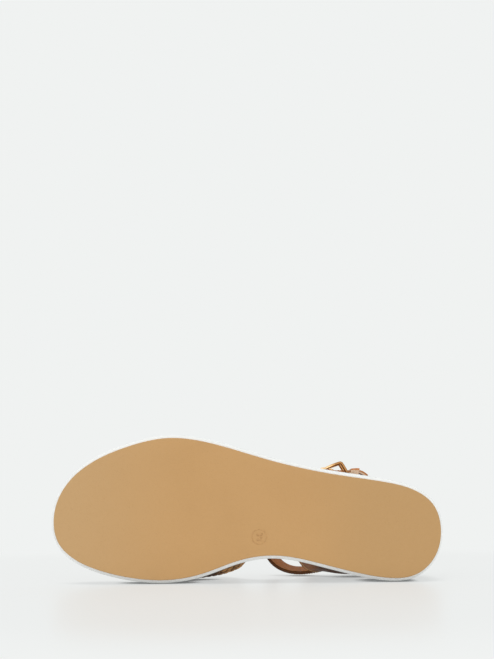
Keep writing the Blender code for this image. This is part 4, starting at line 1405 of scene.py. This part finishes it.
@dataclass
class Band:
    """Surface of quarter and instep strap, round the heel, over the instep and on to the buckle."""

    last: Last
    wall: float = 2.2
    ring_up: float = 64.5
    inner_lean: float = 0.135
    outer_lean: float = 0.03
    instep_lean: float = 0.70
    lean_power: float = 1.55
    lean_ease: float = 6.0
    heel_swell: float = 1.5
    inner_edge_base: float = 91.0
    inner_edge_ring: float = 72.0
    outer_edge_base: float = 70.0
    outer_edge_ring: float = 50.9
    slant_power: float = 2.0
    swell_ease: float = 18.0
    tip_length: float = 8.0
    tip_flat: float = 0.25
    edge_sweep: float = 4.0
    rows: list[BandRow] = field(
        default_factory=lambda: [
            BandRow("outer wing edge", Side.OUTER, 50.9, None, 88.5, -1.1),
            BandRow("outer ankle", Side.OUTER, 34.0, None, 85.0, -0.9),
            BandRow("heel back", Side.INNER, 8.5, None, 93.0, 0.0),
            BandRow("inner ankle", Side.INNER, 42.0, None, 84.0, 0.0),
            BandRow("inner wing edge", Side.INNER, 72.0, None, 81.5, 0.0),
            BandRow("inner strap", Side.INNER, 80.0, 63.0, 82.0, 0.0),
            BandRow("inner widest", Side.INNER, 90.0, 65.0, 84.0, 0.0),
            BandRow("instep inner", Side.INNER, 106.0, 70.0, 90.0, 0.0),
            BandRow("instep", Side.FRONT, 0.0, 82.0, 99.0, 0.0),
            BandRow("instep outer", Side.OUTER_AGAIN, 110.0, 82.0, 97.5, 0.0),
            BandRow("outer side", Side.OUTER_AGAIN, 92.0, 77.5, 92.0, 0.0),
            BandRow("buckle nose", Side.OUTER_AGAIN, 73.0, 74.3, 88.3, 0.2),
            BandRow("buckle middle", Side.OUTER_AGAIN, 64.0, 74.0, 88.0, 1.4),
            BandRow("buckle bar", Side.OUTER_AGAIN, 54.5, 73.8, 87.8, 2.6),
            BandRow("free end", Side.OUTER_AGAIN, 46.0, 73.5, 87.5, 4.7),
            BandRow("tip", Side.OUTER_AGAIN, 41.4, 73.2, 87.2, 3.4),
        ]
    )

    def __post_init__(self) -> None:
        """Draws the ring and finds the rows' places on it."""
        plan = [(point.along, point.across) for point in RING_PLAN]
        self.ring = PlanCurve(closed_spline(plan, self.last.curve_samples))
        self.turns = np.array([self.turn_of(row.side, row.along) for row in self.rows])
        self.wing_edge = self.turn_of(Side.INNER, self.inner_edge_ring)
        self.first, self.end = float(self.turns[0]), float(self.turns[-1])

    def turn_of(self, side: Side, along: float) -> float:
        """Share of the way round the ring, from the heel's back through the inner side, to a place."""
        if side == Side.FRONT:
            return self.ring.front() / self.ring.length
        if side == Side.INNER:
            return float(self.ring.inner_distance(along)) / self.ring.length
        turn = float(self.ring.outer_distance(along)) / self.ring.length
        return turn + 1.0 if side == Side.OUTER_AGAIN else turn

    def ankle_point(self, turn: Points, up: Points) -> Points:
        """Foot surface at heel, ankle and instep.

        Args:
            turn: Share of the way round the ring.
            up: Height over the tread.

        Returns:
            Points in the sandal's own millimetres.
        """
        base_curve, ring_curve = self.last.strap_base, self.ring
        distance = turn * ring_curve.length
        inner_end = ring_curve.inner_distance(self.inner_edge_ring)
        outer_end = ring_curve.outer_distance(self.outer_edge_ring)
        inner = base_curve.inner_distance(self.inner_edge_base) / inner_end
        outer = base_curve.outer_distance(self.outer_edge_base) / outer_end
        base = base_curve.at(distance * np.where(distance > 0.0, inner, outer))
        tangent = ring_curve.at(distance + PROBE) - ring_curve.at(distance - PROBE)
        outward = unit(np.stack([-tangent[..., 1], tangent[..., 0]], axis=-1))
        forward = np.maximum(outward[..., 0], 0.0)
        inner_share = smoothstep(0.5 + 0.5 * outward[..., 1])
        side_lean = self.outer_lean + (self.inner_lean - self.outer_lean) * inner_share
        lean = side_lean + (self.instep_lean - side_lean) * forward**self.lean_power
        over = up - self.ring_up
        rise = 0.5 * (over + np.sqrt(over**2 + self.lean_ease**2))
        ring = ring_curve.at(distance) - outward * (lean * rise)[..., None]
        low = self.last.rim_up(base[..., 0])
        share = np.clip((up - low) / (self.ring_up - low), 0.0, 1.0)
        ease = smoothstep(np.minimum(inner_end - distance, distance - outer_end) / self.swell_ease)
        swell = self.heel_swell * ease * np.sin(math.pi * share)
        blend = np.stack([share**self.slant_power, np.sin(share * math.pi / 2.0)], axis=-1)
        plan = base * (1.0 - blend) + ring * blend + outward * swell[..., None]
        return np.concatenate([plan, np.asarray(up, float)[..., None]], axis=-1)

    def normals(self, turn: Points, up: Points) -> Points:
        """Outward normals of the foot surface."""
        step = PROBE / self.ring.length
        along_ring = self.ankle_point(turn + step, up) - self.ankle_point(turn - step, up)
        upward = self.ankle_point(turn, up + PROBE) - self.ankle_point(turn, up - PROBE)
        return unit(np.cross(upward, along_ring))

    def off_foot(self, turn: Points, up: Points, off: Points) -> Points:
        """Point at a place round the ring, a height and a distance off the foot."""
        turn, up, off = np.broadcast_arrays(*[np.asarray(value, float) for value in (turn, up, off)])
        return self.ankle_point(turn, up) + self.normals(turn, up) * off[..., None]

    def edges(self, turn: Points) -> tuple[Points, Points, Points]:
        """Lower edge, upper edge and lift at places round the ring."""
        turn = np.atleast_1d(turn)
        high = smooth_table(turn, self.turns, table_column(self.rows, "high"))
        lift = smooth_table(turn, self.turns, table_column(self.rows, "lift"))
        on_strap = np.array([row.low is not None for row in self.rows])
        strap_low = np.array([row.low for row in self.rows if row.low is not None])
        low = smooth_table(turn, self.turns[on_strap], strap_low)
        rim = self.last.rim_up(self.ankle_point(turn, np.zeros_like(turn))[..., 0])
        sweep = np.clip((turn - self.wing_edge) * self.ring.length / self.edge_sweep, 0.0, 1.0)
        low = low - (low - rim) * (1.0 - sweep) ** 3
        middle, half = (low + high) / 2.0, (high - low) / 2.0
        to_tip = np.clip((self.end - turn) * self.ring.length / self.tip_length, 0.0, 1.0)
        narrow = self.tip_flat + (1.0 - self.tip_flat) * np.sqrt(1.0 - (1.0 - to_tip) ** 2)
        return middle - half * narrow, middle + half * narrow, lift

    def wing_lift(self, turn: Points) -> Points:
        """Lift of the outer wing, under the strap's second lap."""
        return self.edges(np.atleast_1d(turn) - 1.0)[2]

    def point(self, turn: Points, share: Points, off: Points) -> Points:
        """Point of the band at a share of the way from its lower to its upper edge.

        Args:
            turn: Share of the way round the ring, any shape.
            share: Share of the way up, same shape.
            off: Distance off the band's inner face, same shape.

        Returns:
            Points kept above the platform's rim.
        """
        low, high, lift = self.edges(turn.ravel())
        low, high, lift = (value.reshape(turn.shape) for value in (low, high, lift))
        up = low + (high - low) * share
        return self.last.above_rim(self.off_foot(turn, up, lift + off))

    def width(self, turn: Points) -> Points:
        """Height of the band at places round the ring."""
        low, high, _ = self.edges(turn)
        return high - low


class Crease(NamedTuple):
    """A soft trough across the band: its two ends as distance round the ring and share of the way up."""

    place: str
    run_from: float
    share_from: float
    run_to: float
    share_to: float
    depth: float
    width: float


@dataclass
class Quarter:
    """Heel counter and instep strap: outer leather, lining, stitching and punched holes."""

    band: Band
    layer: float = 1.15
    seam: float = 0.05
    edge: float = 0.32
    step: float = 1.1
    sweep_steps: int = 10
    across: int = 20
    stitch_inset: float = 1.1
    front_inset: float = 1.0
    stitch_rise: float = 0.02
    stitch_under: float = 1.0
    stitch_start: float = 0.004
    stitch_samples: int = 500
    front_samples: int = 200
    tip_steps: int = 13
    least_step: float = 0.2
    slot_radius: float = 1.3
    slot_sides: int = 16
    hole_radius: float = 1.1
    hole_sides: int = 20
    hole_reach: float = 2.0
    hole_pitch: float = 6.5
    holes_ahead: tuple[int, ...] = (2, 3, 4)
    crease_tall: float = 30.0
    crease_ends: float = 0.15
    creases: list[Crease] = field(
        default_factory=lambda: [
            Crease("heel upper", -14.0, 0.62, 16.0, 0.58, 0.30, 2.4),
            Crease("heel lower", -20.0, 0.38, 12.0, 0.33, 0.22, 2.8),
            Crease("inner ankle", 34.0, 0.72, 58.0, 0.48, 0.32, 2.2),
            Crease("inner wing", 58.0, 0.80, 86.0, 0.62, 0.28, 2.6),
            Crease("outer ankle", -52.0, 0.70, -30.0, 0.55, 0.24, 2.4),
            Crease("instep bend", 150.0, 0.05, 154.0, 0.95, 0.22, 2.0),
            Crease("instep turn", 171.0, 0.05, 168.0, 0.95, 0.20, 1.8),
        ]
    )

    def build(self, pin_path: Points, pin_turn: float) -> None:
        """Makes and dresses the quarter's pieces.

        Args:
            pin_path: Centre line of the buckle's pin where it passes through the strap.
            pin_turn: Place of the pin's hole round the ring.
        """
        lining_middle = self.layer_lining() / 2.0
        outer_middle = self.band.wall - self.layer / 2.0
        lining = self.sheet("quarter_lining", lining_middle, self.layer_lining())
        outer = self.sheet("quarter_outer", outer_middle, self.layer)
        cutter = self.cutter(pin_path, pin_turn)
        for piece in (lining, outer):
            apply_modifier(piece, "BOOLEAN", operation="DIFFERENCE", solver="EXACT", object=cutter)
        bpy.data.objects.remove(cutter)
        dress(outer, QUARTER_LEATHER, "upper_quarter")
        dress(lining, LINING_LEATHER)
        dress(self.stitching(), OCHRE_THREAD)

    def layer_lining(self) -> float:
        """Thickness of the lining."""
        return self.band.wall - self.layer - self.seam

    def sunk(self, turn: Points, share: Points) -> Points:
        """Depth of the creases at places on the band."""
        run = turn * self.band.ring.length
        depth = np.zeros_like(run)
        tall = self.crease_tall
        for crease in self.creases:
            start = np.array([crease.run_from, crease.share_from * tall])
            way = np.array([crease.run_to, crease.share_to * tall]) - start
            here = np.stack([run, share * tall], axis=-1) - start
            t = np.clip(here @ way / (way @ way), 0.0, 1.0)
            gap = np.linalg.norm(here - t[..., None] * way, axis=-1)
            fade = np.sin(math.pi * (self.crease_ends + (1.0 - 2.0 * self.crease_ends) * t))
            depth += crease.depth * fade * np.exp(-((gap / crease.width) ** 2))
        return depth

    def places(self) -> Points:
        """Places round the ring, closer together where the wing runs into the strap and at the tip."""
        band = self.band
        step = self.step / band.ring.length
        least = self.least_step * step
        sweep_end = band.wing_edge + band.edge_sweep / band.ring.length
        tip_start = band.end - band.tip_length / band.ring.length
        to_tip = np.sin(np.linspace(0.0, math.pi / 2.0, self.tip_steps))
        return np.concatenate(
            [
                np.arange(band.first, band.wing_edge - least, step),
                np.linspace(band.wing_edge, sweep_end, self.sweep_steps, endpoint=False),
                np.arange(sweep_end, tip_start - least, step),
                tip_start + (band.end - tip_start) * to_tip,
            ]
        )

    def sheet(self, name: str, middle: float, thick: float) -> Piece:
        """One layer of the band, creased and with rounded edges."""
        turn, share = np.meshgrid(self.places(), np.linspace(0.0, 1.0, self.across + 1), indexing="ij")
        grid = self.band.point(turn, share, middle - self.sunk(turn, share))
        return laid_sheet(name, grid, self.band.last, thick, self.edge)

    def cutter(self, pin_path: Points, pin_turn: float) -> Piece:
        """Solid of the pin's slot and of the punched holes ahead of it."""
        band = self.band
        radii = np.full(len(pin_path), self.slot_radius)
        cutters = [laid_solid("cutter_pin", tube_rings(pin_path, radii, self.slot_sides, False), band.last)]
        for count in self.holes_ahead:
            turn = pin_turn - count * self.hole_pitch / band.ring.length
            low, high, lift = band.edges(np.array([turn]))
            up = (low[0] + high[0]) / 2.0
            off = lift[0] + np.array([-self.hole_reach, band.wall + self.hole_reach])
            axis = band.off_foot(np.full(2, turn), np.full(2, up), off)
            rings = tube_rings(axis, np.full(2, self.hole_radius), self.hole_sides, False)
            cutters.append(laid_solid(f"cutter_{count}", rings, band.last))
        return joined("cutter", cutters)

    def stitching(self) -> Piece:
        """Stitches along the upper edge of quarter and strap, the strap's lower edge and the front edge."""
        band = self.band
        lines = []
        tip_start = band.end - band.tip_length / band.ring.length
        strap_start = band.wing_edge + band.edge_sweep / band.ring.length
        for first, upper in ((band.first + self.stitch_start, True), (strap_start, False)):
            turn = np.linspace(first, tip_start, self.stitch_samples)
            inset = self.stitch_inset / band.width(turn)
            share = 1.0 - inset if upper else inset
            sunk = self.sunk(turn, share)
            line = band.point(turn, share, band.wall - sunk + self.stitch_rise)
            under = band.point(turn, share, np.full_like(turn, band.wall - self.stitch_under))
            lines.append((line, unit(line - under)))
        lines.append(self.front_seam())
        return StitchRow().sew("quarter_stitching", lines, band.last)

    def front_seam(self) -> tuple[Points, Points]:
        """Line of the seam along the quarter's front edge, and the leather's normals there."""
        band = self.band
        turn = band.wing_edge + np.linspace(0.0, band.edge_sweep, self.front_samples) / band.ring.length
        low = band.edges(turn)[0]
        back = turn - self.front_inset / band.ring.length
        line = band.off_foot(back, low, band.wall + self.stitch_rise)
        return line[1:-1], band.normals(back, low)[1:-1]


@dataclass
class Buckle:
    """Fastened buckle on the outer side: bowed frame, pin, folded tab and keeper."""

    band: Band
    nose_along: float = 72.2
    bar_along: float = 53.4
    up: float = 81.0
    half_width: float = 10.0
    corner: float = 3.0
    wire: float = 1.1
    bow: float = 8.0
    bow_peak: float = 0.66
    bow_round: float = 0.03
    pitch: float = 0.7
    sides: int = 20
    corner_steps: int = 9
    prong_wire: float = 0.75
    prong_sides: int = 14
    prong_steps: int = 8
    prong_taper: tuple[float, ...] = (0.45, 0.75, 0.9, 0.97)
    hole_first: int = 2
    hole_run: float = 9.0
    tab_thick: float = 0.8
    tab_edge: float = 0.25
    tab_half_width: float = 5.5
    tab_leg: float = 7.5
    tab_leg_steps: int = 10
    tab_fold_steps: int = 19
    tab_columns: int = 15
    keeper_along: float = 50.4
    keeper_width: float = 5.5
    keeper_thick: float = 1.0
    keeper_half_span: float = 7.6
    keeper_corner: float = 1.2
    keeper_edge: float = 0.3
    keeper_steps: int = 9
    keeper_leg_rows: int = 4
    keeper_leg_end: float = 0.3
    keeper_roof_start: float = 0.7
    keeper_pale_below: float = 1.4
    keeper_pale_turn: float = -0.5
    prong: list[ProngPoint] = field(
        default_factory=lambda: [
            ProngPoint("point", -0.2, 5.8),
            ProngPoint("nose", 1.6, 5.9),
            ProngPoint("over strap", 4.5, 5.3),
            ProngPoint("hole mouth", 7.0, 4.6),
            ProngPoint("in hole", 9.5, 3.1),
            ProngPoint("under strap", 12.5, 0.8),
            ProngPoint("root", 16.4, 0.1),
        ]
    )

    def __post_init__(self) -> None:
        """Finds the buckle's places on the ring."""
        self.nose = self.band.turn_of(Side.OUTER_AGAIN, self.nose_along)
        self.bar = self.band.turn_of(Side.OUTER_AGAIN, self.bar_along)
        self.keeper_turn = self.band.turn_of(Side.OUTER_AGAIN, self.keeper_along)

    def build(self) -> None:
        """Makes and dresses the buckle's pieces."""
        dress(self.frame(), GOLD_BUCKLE, "buckle_frame")
        dress(self.pin(), GOLD_BUCKLE, "buckle_prong")
        dress(self.tab(), TRIM_LEATHER, "buckle_tab")
        dress(self.keeper(), TRIM_LEATHER, "strap_keeper")

    def bar_off(self) -> float:
        """Distance off the foot of the buckle's bar, in line with the outer wing's wall."""
        return float(self.band.wing_lift(self.bar)[0]) + self.band.wall / 2.0

    def frame(self) -> Piece:
        """Bowed frame: nose over the strap, bar under it, and side bars that arch out."""
        band = self.band
        length = (self.bar - self.nose) * band.ring.length
        reach = self.half_width - self.corner
        near, far = self.corner, length - self.corner
        centres = [(near, reach, 180.0), (far, reach, 90.0), (far, -reach, 0.0), (near, -reach, -90.0)]
        flat = []
        for run, width, start in centres:
            for angle in np.radians(np.linspace(start, start - 90.0, self.corner_steps)):
                flat.append((run + self.corner * math.cos(angle), width + self.corner * math.sin(angle)))
        corners = PlanCurve(np.array(flat))
        path = corners.at(np.arange(0.0, corners.length, self.pitch))
        run, width = path.T
        share = np.clip(run / length, 0.0, 1.0)
        rise = np.minimum(share / self.bow_peak, (1.0 - share) / (1.0 - self.bow_peak))
        bow = self.bow * rise * (1.0 + self.bow_round * (1.0 - rise))
        nose_off = band.edges(self.nose)[2][0] + band.wall + band.last.fit_gap + self.wire
        off = nose_off + (self.bar_off() - nose_off) * share + bow
        spine = band.off_foot(self.nose + run / band.ring.length, self.up + width, off)
        rings = tube_rings(spine, np.full(len(spine), self.wire), self.sides, True)
        return laid_solid("buckle_bow", rings, band.last, True)

    def pin_path(self, first: int) -> Points:
        """Centre line of the pin from one of its points on."""
        rows = self.prong[first:]
        runs = table_column(rows, "run")
        where = np.linspace(runs[0], runs[-1], self.prong_steps * len(rows))
        off = smooth_table(where, runs, table_column(rows, "off"))
        return self.band.off_foot(self.nose + where / self.band.ring.length, self.up, off)

    def pin(self) -> Piece:
        """Pin with a drawn-in, rounded point."""
        path = self.pin_path(0)
        radii = np.full(len(path), self.prong_wire)
        radii[: len(self.prong_taper)] *= np.array(self.prong_taper)
        return laid_solid("buckle_pin", tube_rings(path, radii, self.prong_sides, False), self.band.last)

    def hole_turn(self) -> float:
        """Place of the pin's hole round the ring."""
        return self.nose + self.hole_run / self.band.ring.length

    def tab(self) -> Piece:
        """Leather tab folded round the bar, with the outer wing between its legs."""
        band = self.band
        radius = self.wire + band.last.fit_gap + self.tab_thick / 2.0
        legs = np.linspace(self.tab_leg, 0.0, self.tab_leg_steps, endpoint=False)
        arc = np.radians(np.linspace(90.0, 270.0, self.tab_fold_steps))
        run = np.concatenate([legs, radius * np.cos(arc), legs[::-1]])
        ones = np.ones(len(legs))
        turn = self.bar + run / band.ring.length
        off = band.wing_lift(turn) + band.wall / 2.0 + radius * np.concatenate([ones, np.sin(arc), -ones])
        width = np.linspace(-self.tab_half_width, self.tab_half_width, self.tab_columns)
        grid = band.off_foot(turn[:, None], self.up + width[None, :], off[:, None])
        return laid_sheet("buckle_fold", grid, band.last, self.tab_thick, self.tab_edge)

    def keeper(self) -> Piece:
        """Leather keeper: a bridge over the strap's free end, its legs on the outer wing."""
        band = self.band
        low, high, lift = band.edges(self.keeper_turn)
        middle = (low[0] + high[0]) / 2.0
        half = self.keeper_thick / 2.0
        width = np.linspace(-0.5, 0.5, self.keeper_steps) * self.keeper_width
        turn = self.keeper_turn + width / band.ring.length
        roof = lift[0] + band.wall + band.last.fit_gap + half
        foot = float(band.wing_lift(self.keeper_turn)[0]) + band.wall + 2.0 * band.last.fit_gap
        span, bend = self.keeper_half_span + half, self.keeper_corner + half
        arc = np.radians(np.linspace(180.0, 90.0, self.keeper_steps))
        corner_up, corner_off = bend - span, roof - bend
        leg_off = np.linspace(foot, corner_off - self.keeper_leg_end, self.keeper_leg_rows)
        roof_up = np.linspace(corner_up + self.keeper_roof_start, 0.0, self.keeper_steps)
        side_up = np.concatenate([np.full(len(leg_off), -span), corner_up + bend * np.cos(arc), roof_up])
        side_off = np.concatenate([leg_off, corner_off + bend * np.sin(arc), np.full(len(roof_up), roof)])
        up = middle + np.concatenate([side_up, -side_up[-2::-1]])
        off = np.concatenate([side_off, side_off[-2::-1]])
        tilt = band.edges(turn)[2] - lift[0]
        share = np.clip((off - foot) / (roof - foot), 0.0, 1.0)
        grid = band.off_foot(turn[None, :], up[:, None], off[:, None] + tilt[None, :] * share[:, None])
        loop = laid_sheet("keeper_loop", grid, band.last, self.keeper_thick, self.keeper_edge)
        pale = loop.data.attributes["cut"]
        below = max(face.center.z for face in loop.data.polygons) - self.keeper_pale_below * MM
        for face in loop.data.polygons:
            if face.normal.y < self.keeper_pale_turn and face.center.z < below:
                pale.data[face.index].value = 1.0
        return loop


@dataclass
class Studio:
    """Plain pale floor with painted shadows near the sandal, soft light and the camera."""

    backdrop: Colour = (0.871, 0.888, 0.880)
    floor_colour: Colour = (0.10, 0.10, 0.10)
    floor_glow: float = 0.915
    floor_gloss: float = 0.24
    # Painted contact and forward shadows on the floor's glow, and its weaker light thrown back near the
    # sandal
    contact_reach: float = 0.0065
    contact_range: Range = (0.02, 0.40)
    contact_shadow_glow: float = 0.10
    forward_reach: float = 0.033
    forward_range: Range = (0.36, 0.70)
    forward_shadow_share: float = 0.82
    shade_reach: float = 0.02
    shade_range: Range = (0.3, 1.0)
    shade_bounce: float = 0.58
    floor_roughness: float = 0.30
    floor_half: float = 30.0
    sheen_near: float = 0.30
    sheen_far: float = 0.46
    key_power: float = 0.20
    key_angle: float = 80.0
    key_from: Place = (-0.45, 0.35, 1.2)
    side_power: float = 0.06
    side_angle: float = 25.0
    side_from: Place = (-1.0, -0.28, 0.45)
    front_power: float = 0.90
    front_angle: float = 70.0
    front_from: Place = (0.05, -1.0, 0.10)
    camera_place: Place = (0.00133, -0.9503, 0.0624)
    pitch: float = 6.42
    roll: float = 0.5
    focal_pixels: float = 1385.7
    long_side: float = 659.0
    sensor: float = 36.0

    def build(self) -> None:
        """Makes floor, light and camera."""
        bpy.context.scene.view_settings.view_transform = "Standard"
        self.sky()
        self.floor()
        self.sun("key", self.key_from, self.key_power, self.key_angle)
        self.sun("side", self.side_from, self.side_power, self.side_angle)
        self.sun("front", self.front_from, self.front_power, self.front_angle)
        self.camera()

    def sky(self) -> None:
        """Even pale surroundings."""
        world = bpy.data.worlds.new("studio")
        bpy.context.scene.world = world
        world.use_nodes = True
        background = world.node_tree.nodes["Background"]
        background.inputs["Color"].default_value = (*self.backdrop, 1.0)
        background.inputs["Strength"].default_value = 1.0

    def floor(self) -> None:
        """Wide pale floor of the same tone as the surroundings, its glow darkened near the sandal as
        painted contact shadow.
        """
        deselect_all()
        bpy.ops.mesh.primitive_plane_add(size=2.0 * self.floor_half, location=(0.0, 0.0, 0.0))
        floor = bpy.context.object
        floor.name = "floor"
        sheet = ShaderSheet("pale floor")
        sheet.feed("Base Color", self.floor_colour)
        sheet.feed("Roughness", 1.0)
        sheet.feed("Specular IOR Level", 0.0)
        sheet.feed("Emission Color", self.backdrop)
        # Painted shadow: the glow that the camera sees darkens at the sandal's contact and in a soft band
        # in front of it
        contact = sheet.openness(self.contact_reach)
        contact_shadow_glow = sheet.mapped(contact, self.contact_range, (self.contact_shadow_glow, self.floor_glow))
        forward = sheet.openness(self.forward_reach)
        forward_shadow = sheet.mapped(forward, self.forward_range, (self.forward_shadow_share, 1.0))
        shadowed_glow = sheet.maths("MULTIPLY", contact_shadow_glow, forward_shadow)
        # Light that the floor throws back is weaker near the sandal, standing for its shade there
        around = sheet.openness(self.shade_reach)
        bounce = sheet.mapped(around, self.shade_range, (self.shade_bounce, self.floor_glow))
        seen = sheet.add("ShaderNodeLightPath", "Is Camera Ray", {})
        unseen = sheet.maths("SUBTRACT", 1.0, seen)
        shown = sheet.maths("MULTIPLY", shadowed_glow, seen)
        thrown = sheet.maths("MULTIPLY", bounce, unseen)
        sheet.feed("Emission Strength", sheet.maths("ADD", shown, thrown))
        matt = sheet.shader.outputs["BSDF"]
        gloss = sheet.add("ShaderNodeBsdfGlossy", "BSDF", {"Roughness": self.floor_roughness})
        near = sheet.add("ShaderNodeMixShader", "Shader", {"Fac": self.floor_gloss, 1: matt, 2: gloss})
        far = sheet.add("ShaderNodeEmission", "Emission", {"Color": self.backdrop})
        distance = sheet.add("ShaderNodeVectorMath", "Value", {0: sheet.coords}, operation="LENGTH")
        share = sheet.mapped(distance, (self.sheen_near, self.sheen_far))
        whole = sheet.add("ShaderNodeMixShader", "Shader", {"Fac": share, 1: near, 2: far})
        sheet.put(sheet.nodes["Material Output"].inputs["Surface"], whole)
        floor.data.materials.append(sheet.material)

    def sun(self, name: str, origin: Place, power: float, angle: float) -> None:
        """One wide soft light that shines from a direction."""
        deselect_all()
        bpy.ops.object.light_add(type="SUN", location=origin)
        sun = bpy.context.object
        sun.name = name
        sun.rotation_euler = Vector(origin).to_track_quat("Z", "Y").to_euler()
        sun.data.energy = power
        sun.data.angle = math.radians(angle)

    def camera(self) -> None:
        """Camera at the photograph's angle to the sandal, just over the floor."""
        pitch, roll = math.radians(self.pitch), math.radians(self.roll)
        forward = Vector((0.0, math.cos(pitch), math.sin(pitch)))
        level = Vector((1.0, 0.0, 0.0))
        upright = Vector((0.0, -math.sin(pitch), math.cos(pitch)))
        right = level * math.cos(roll) - upright * math.sin(roll)
        top = level * math.sin(roll) + upright * math.cos(roll)
        bpy.ops.object.camera_add(location=self.camera_place)
        camera = bpy.context.object
        camera.rotation_euler = Matrix((right, top, -forward)).transposed().to_euler()
        camera.data.sensor_width = self.sensor
        camera.data.lens = self.focal_pixels * self.sensor / self.long_side
        bpy.context.scene.camera = camera


def main() -> None:
    """Builds the sandal's pieces in order, then the studio."""
    logging.basicConfig(level=logging.INFO, format="%(name)s %(message)s")
    last = Last()
    band = Band(last)
    buckle = Buckle(band)
    Sole(last).build()
    FrontStrap(last).build()
    Quarter(band).build(buckle.pin_path(buckle.hole_first), buckle.hole_turn())
    buckle.build()
    Studio().build()


if __name__ == "__main__":
    main()
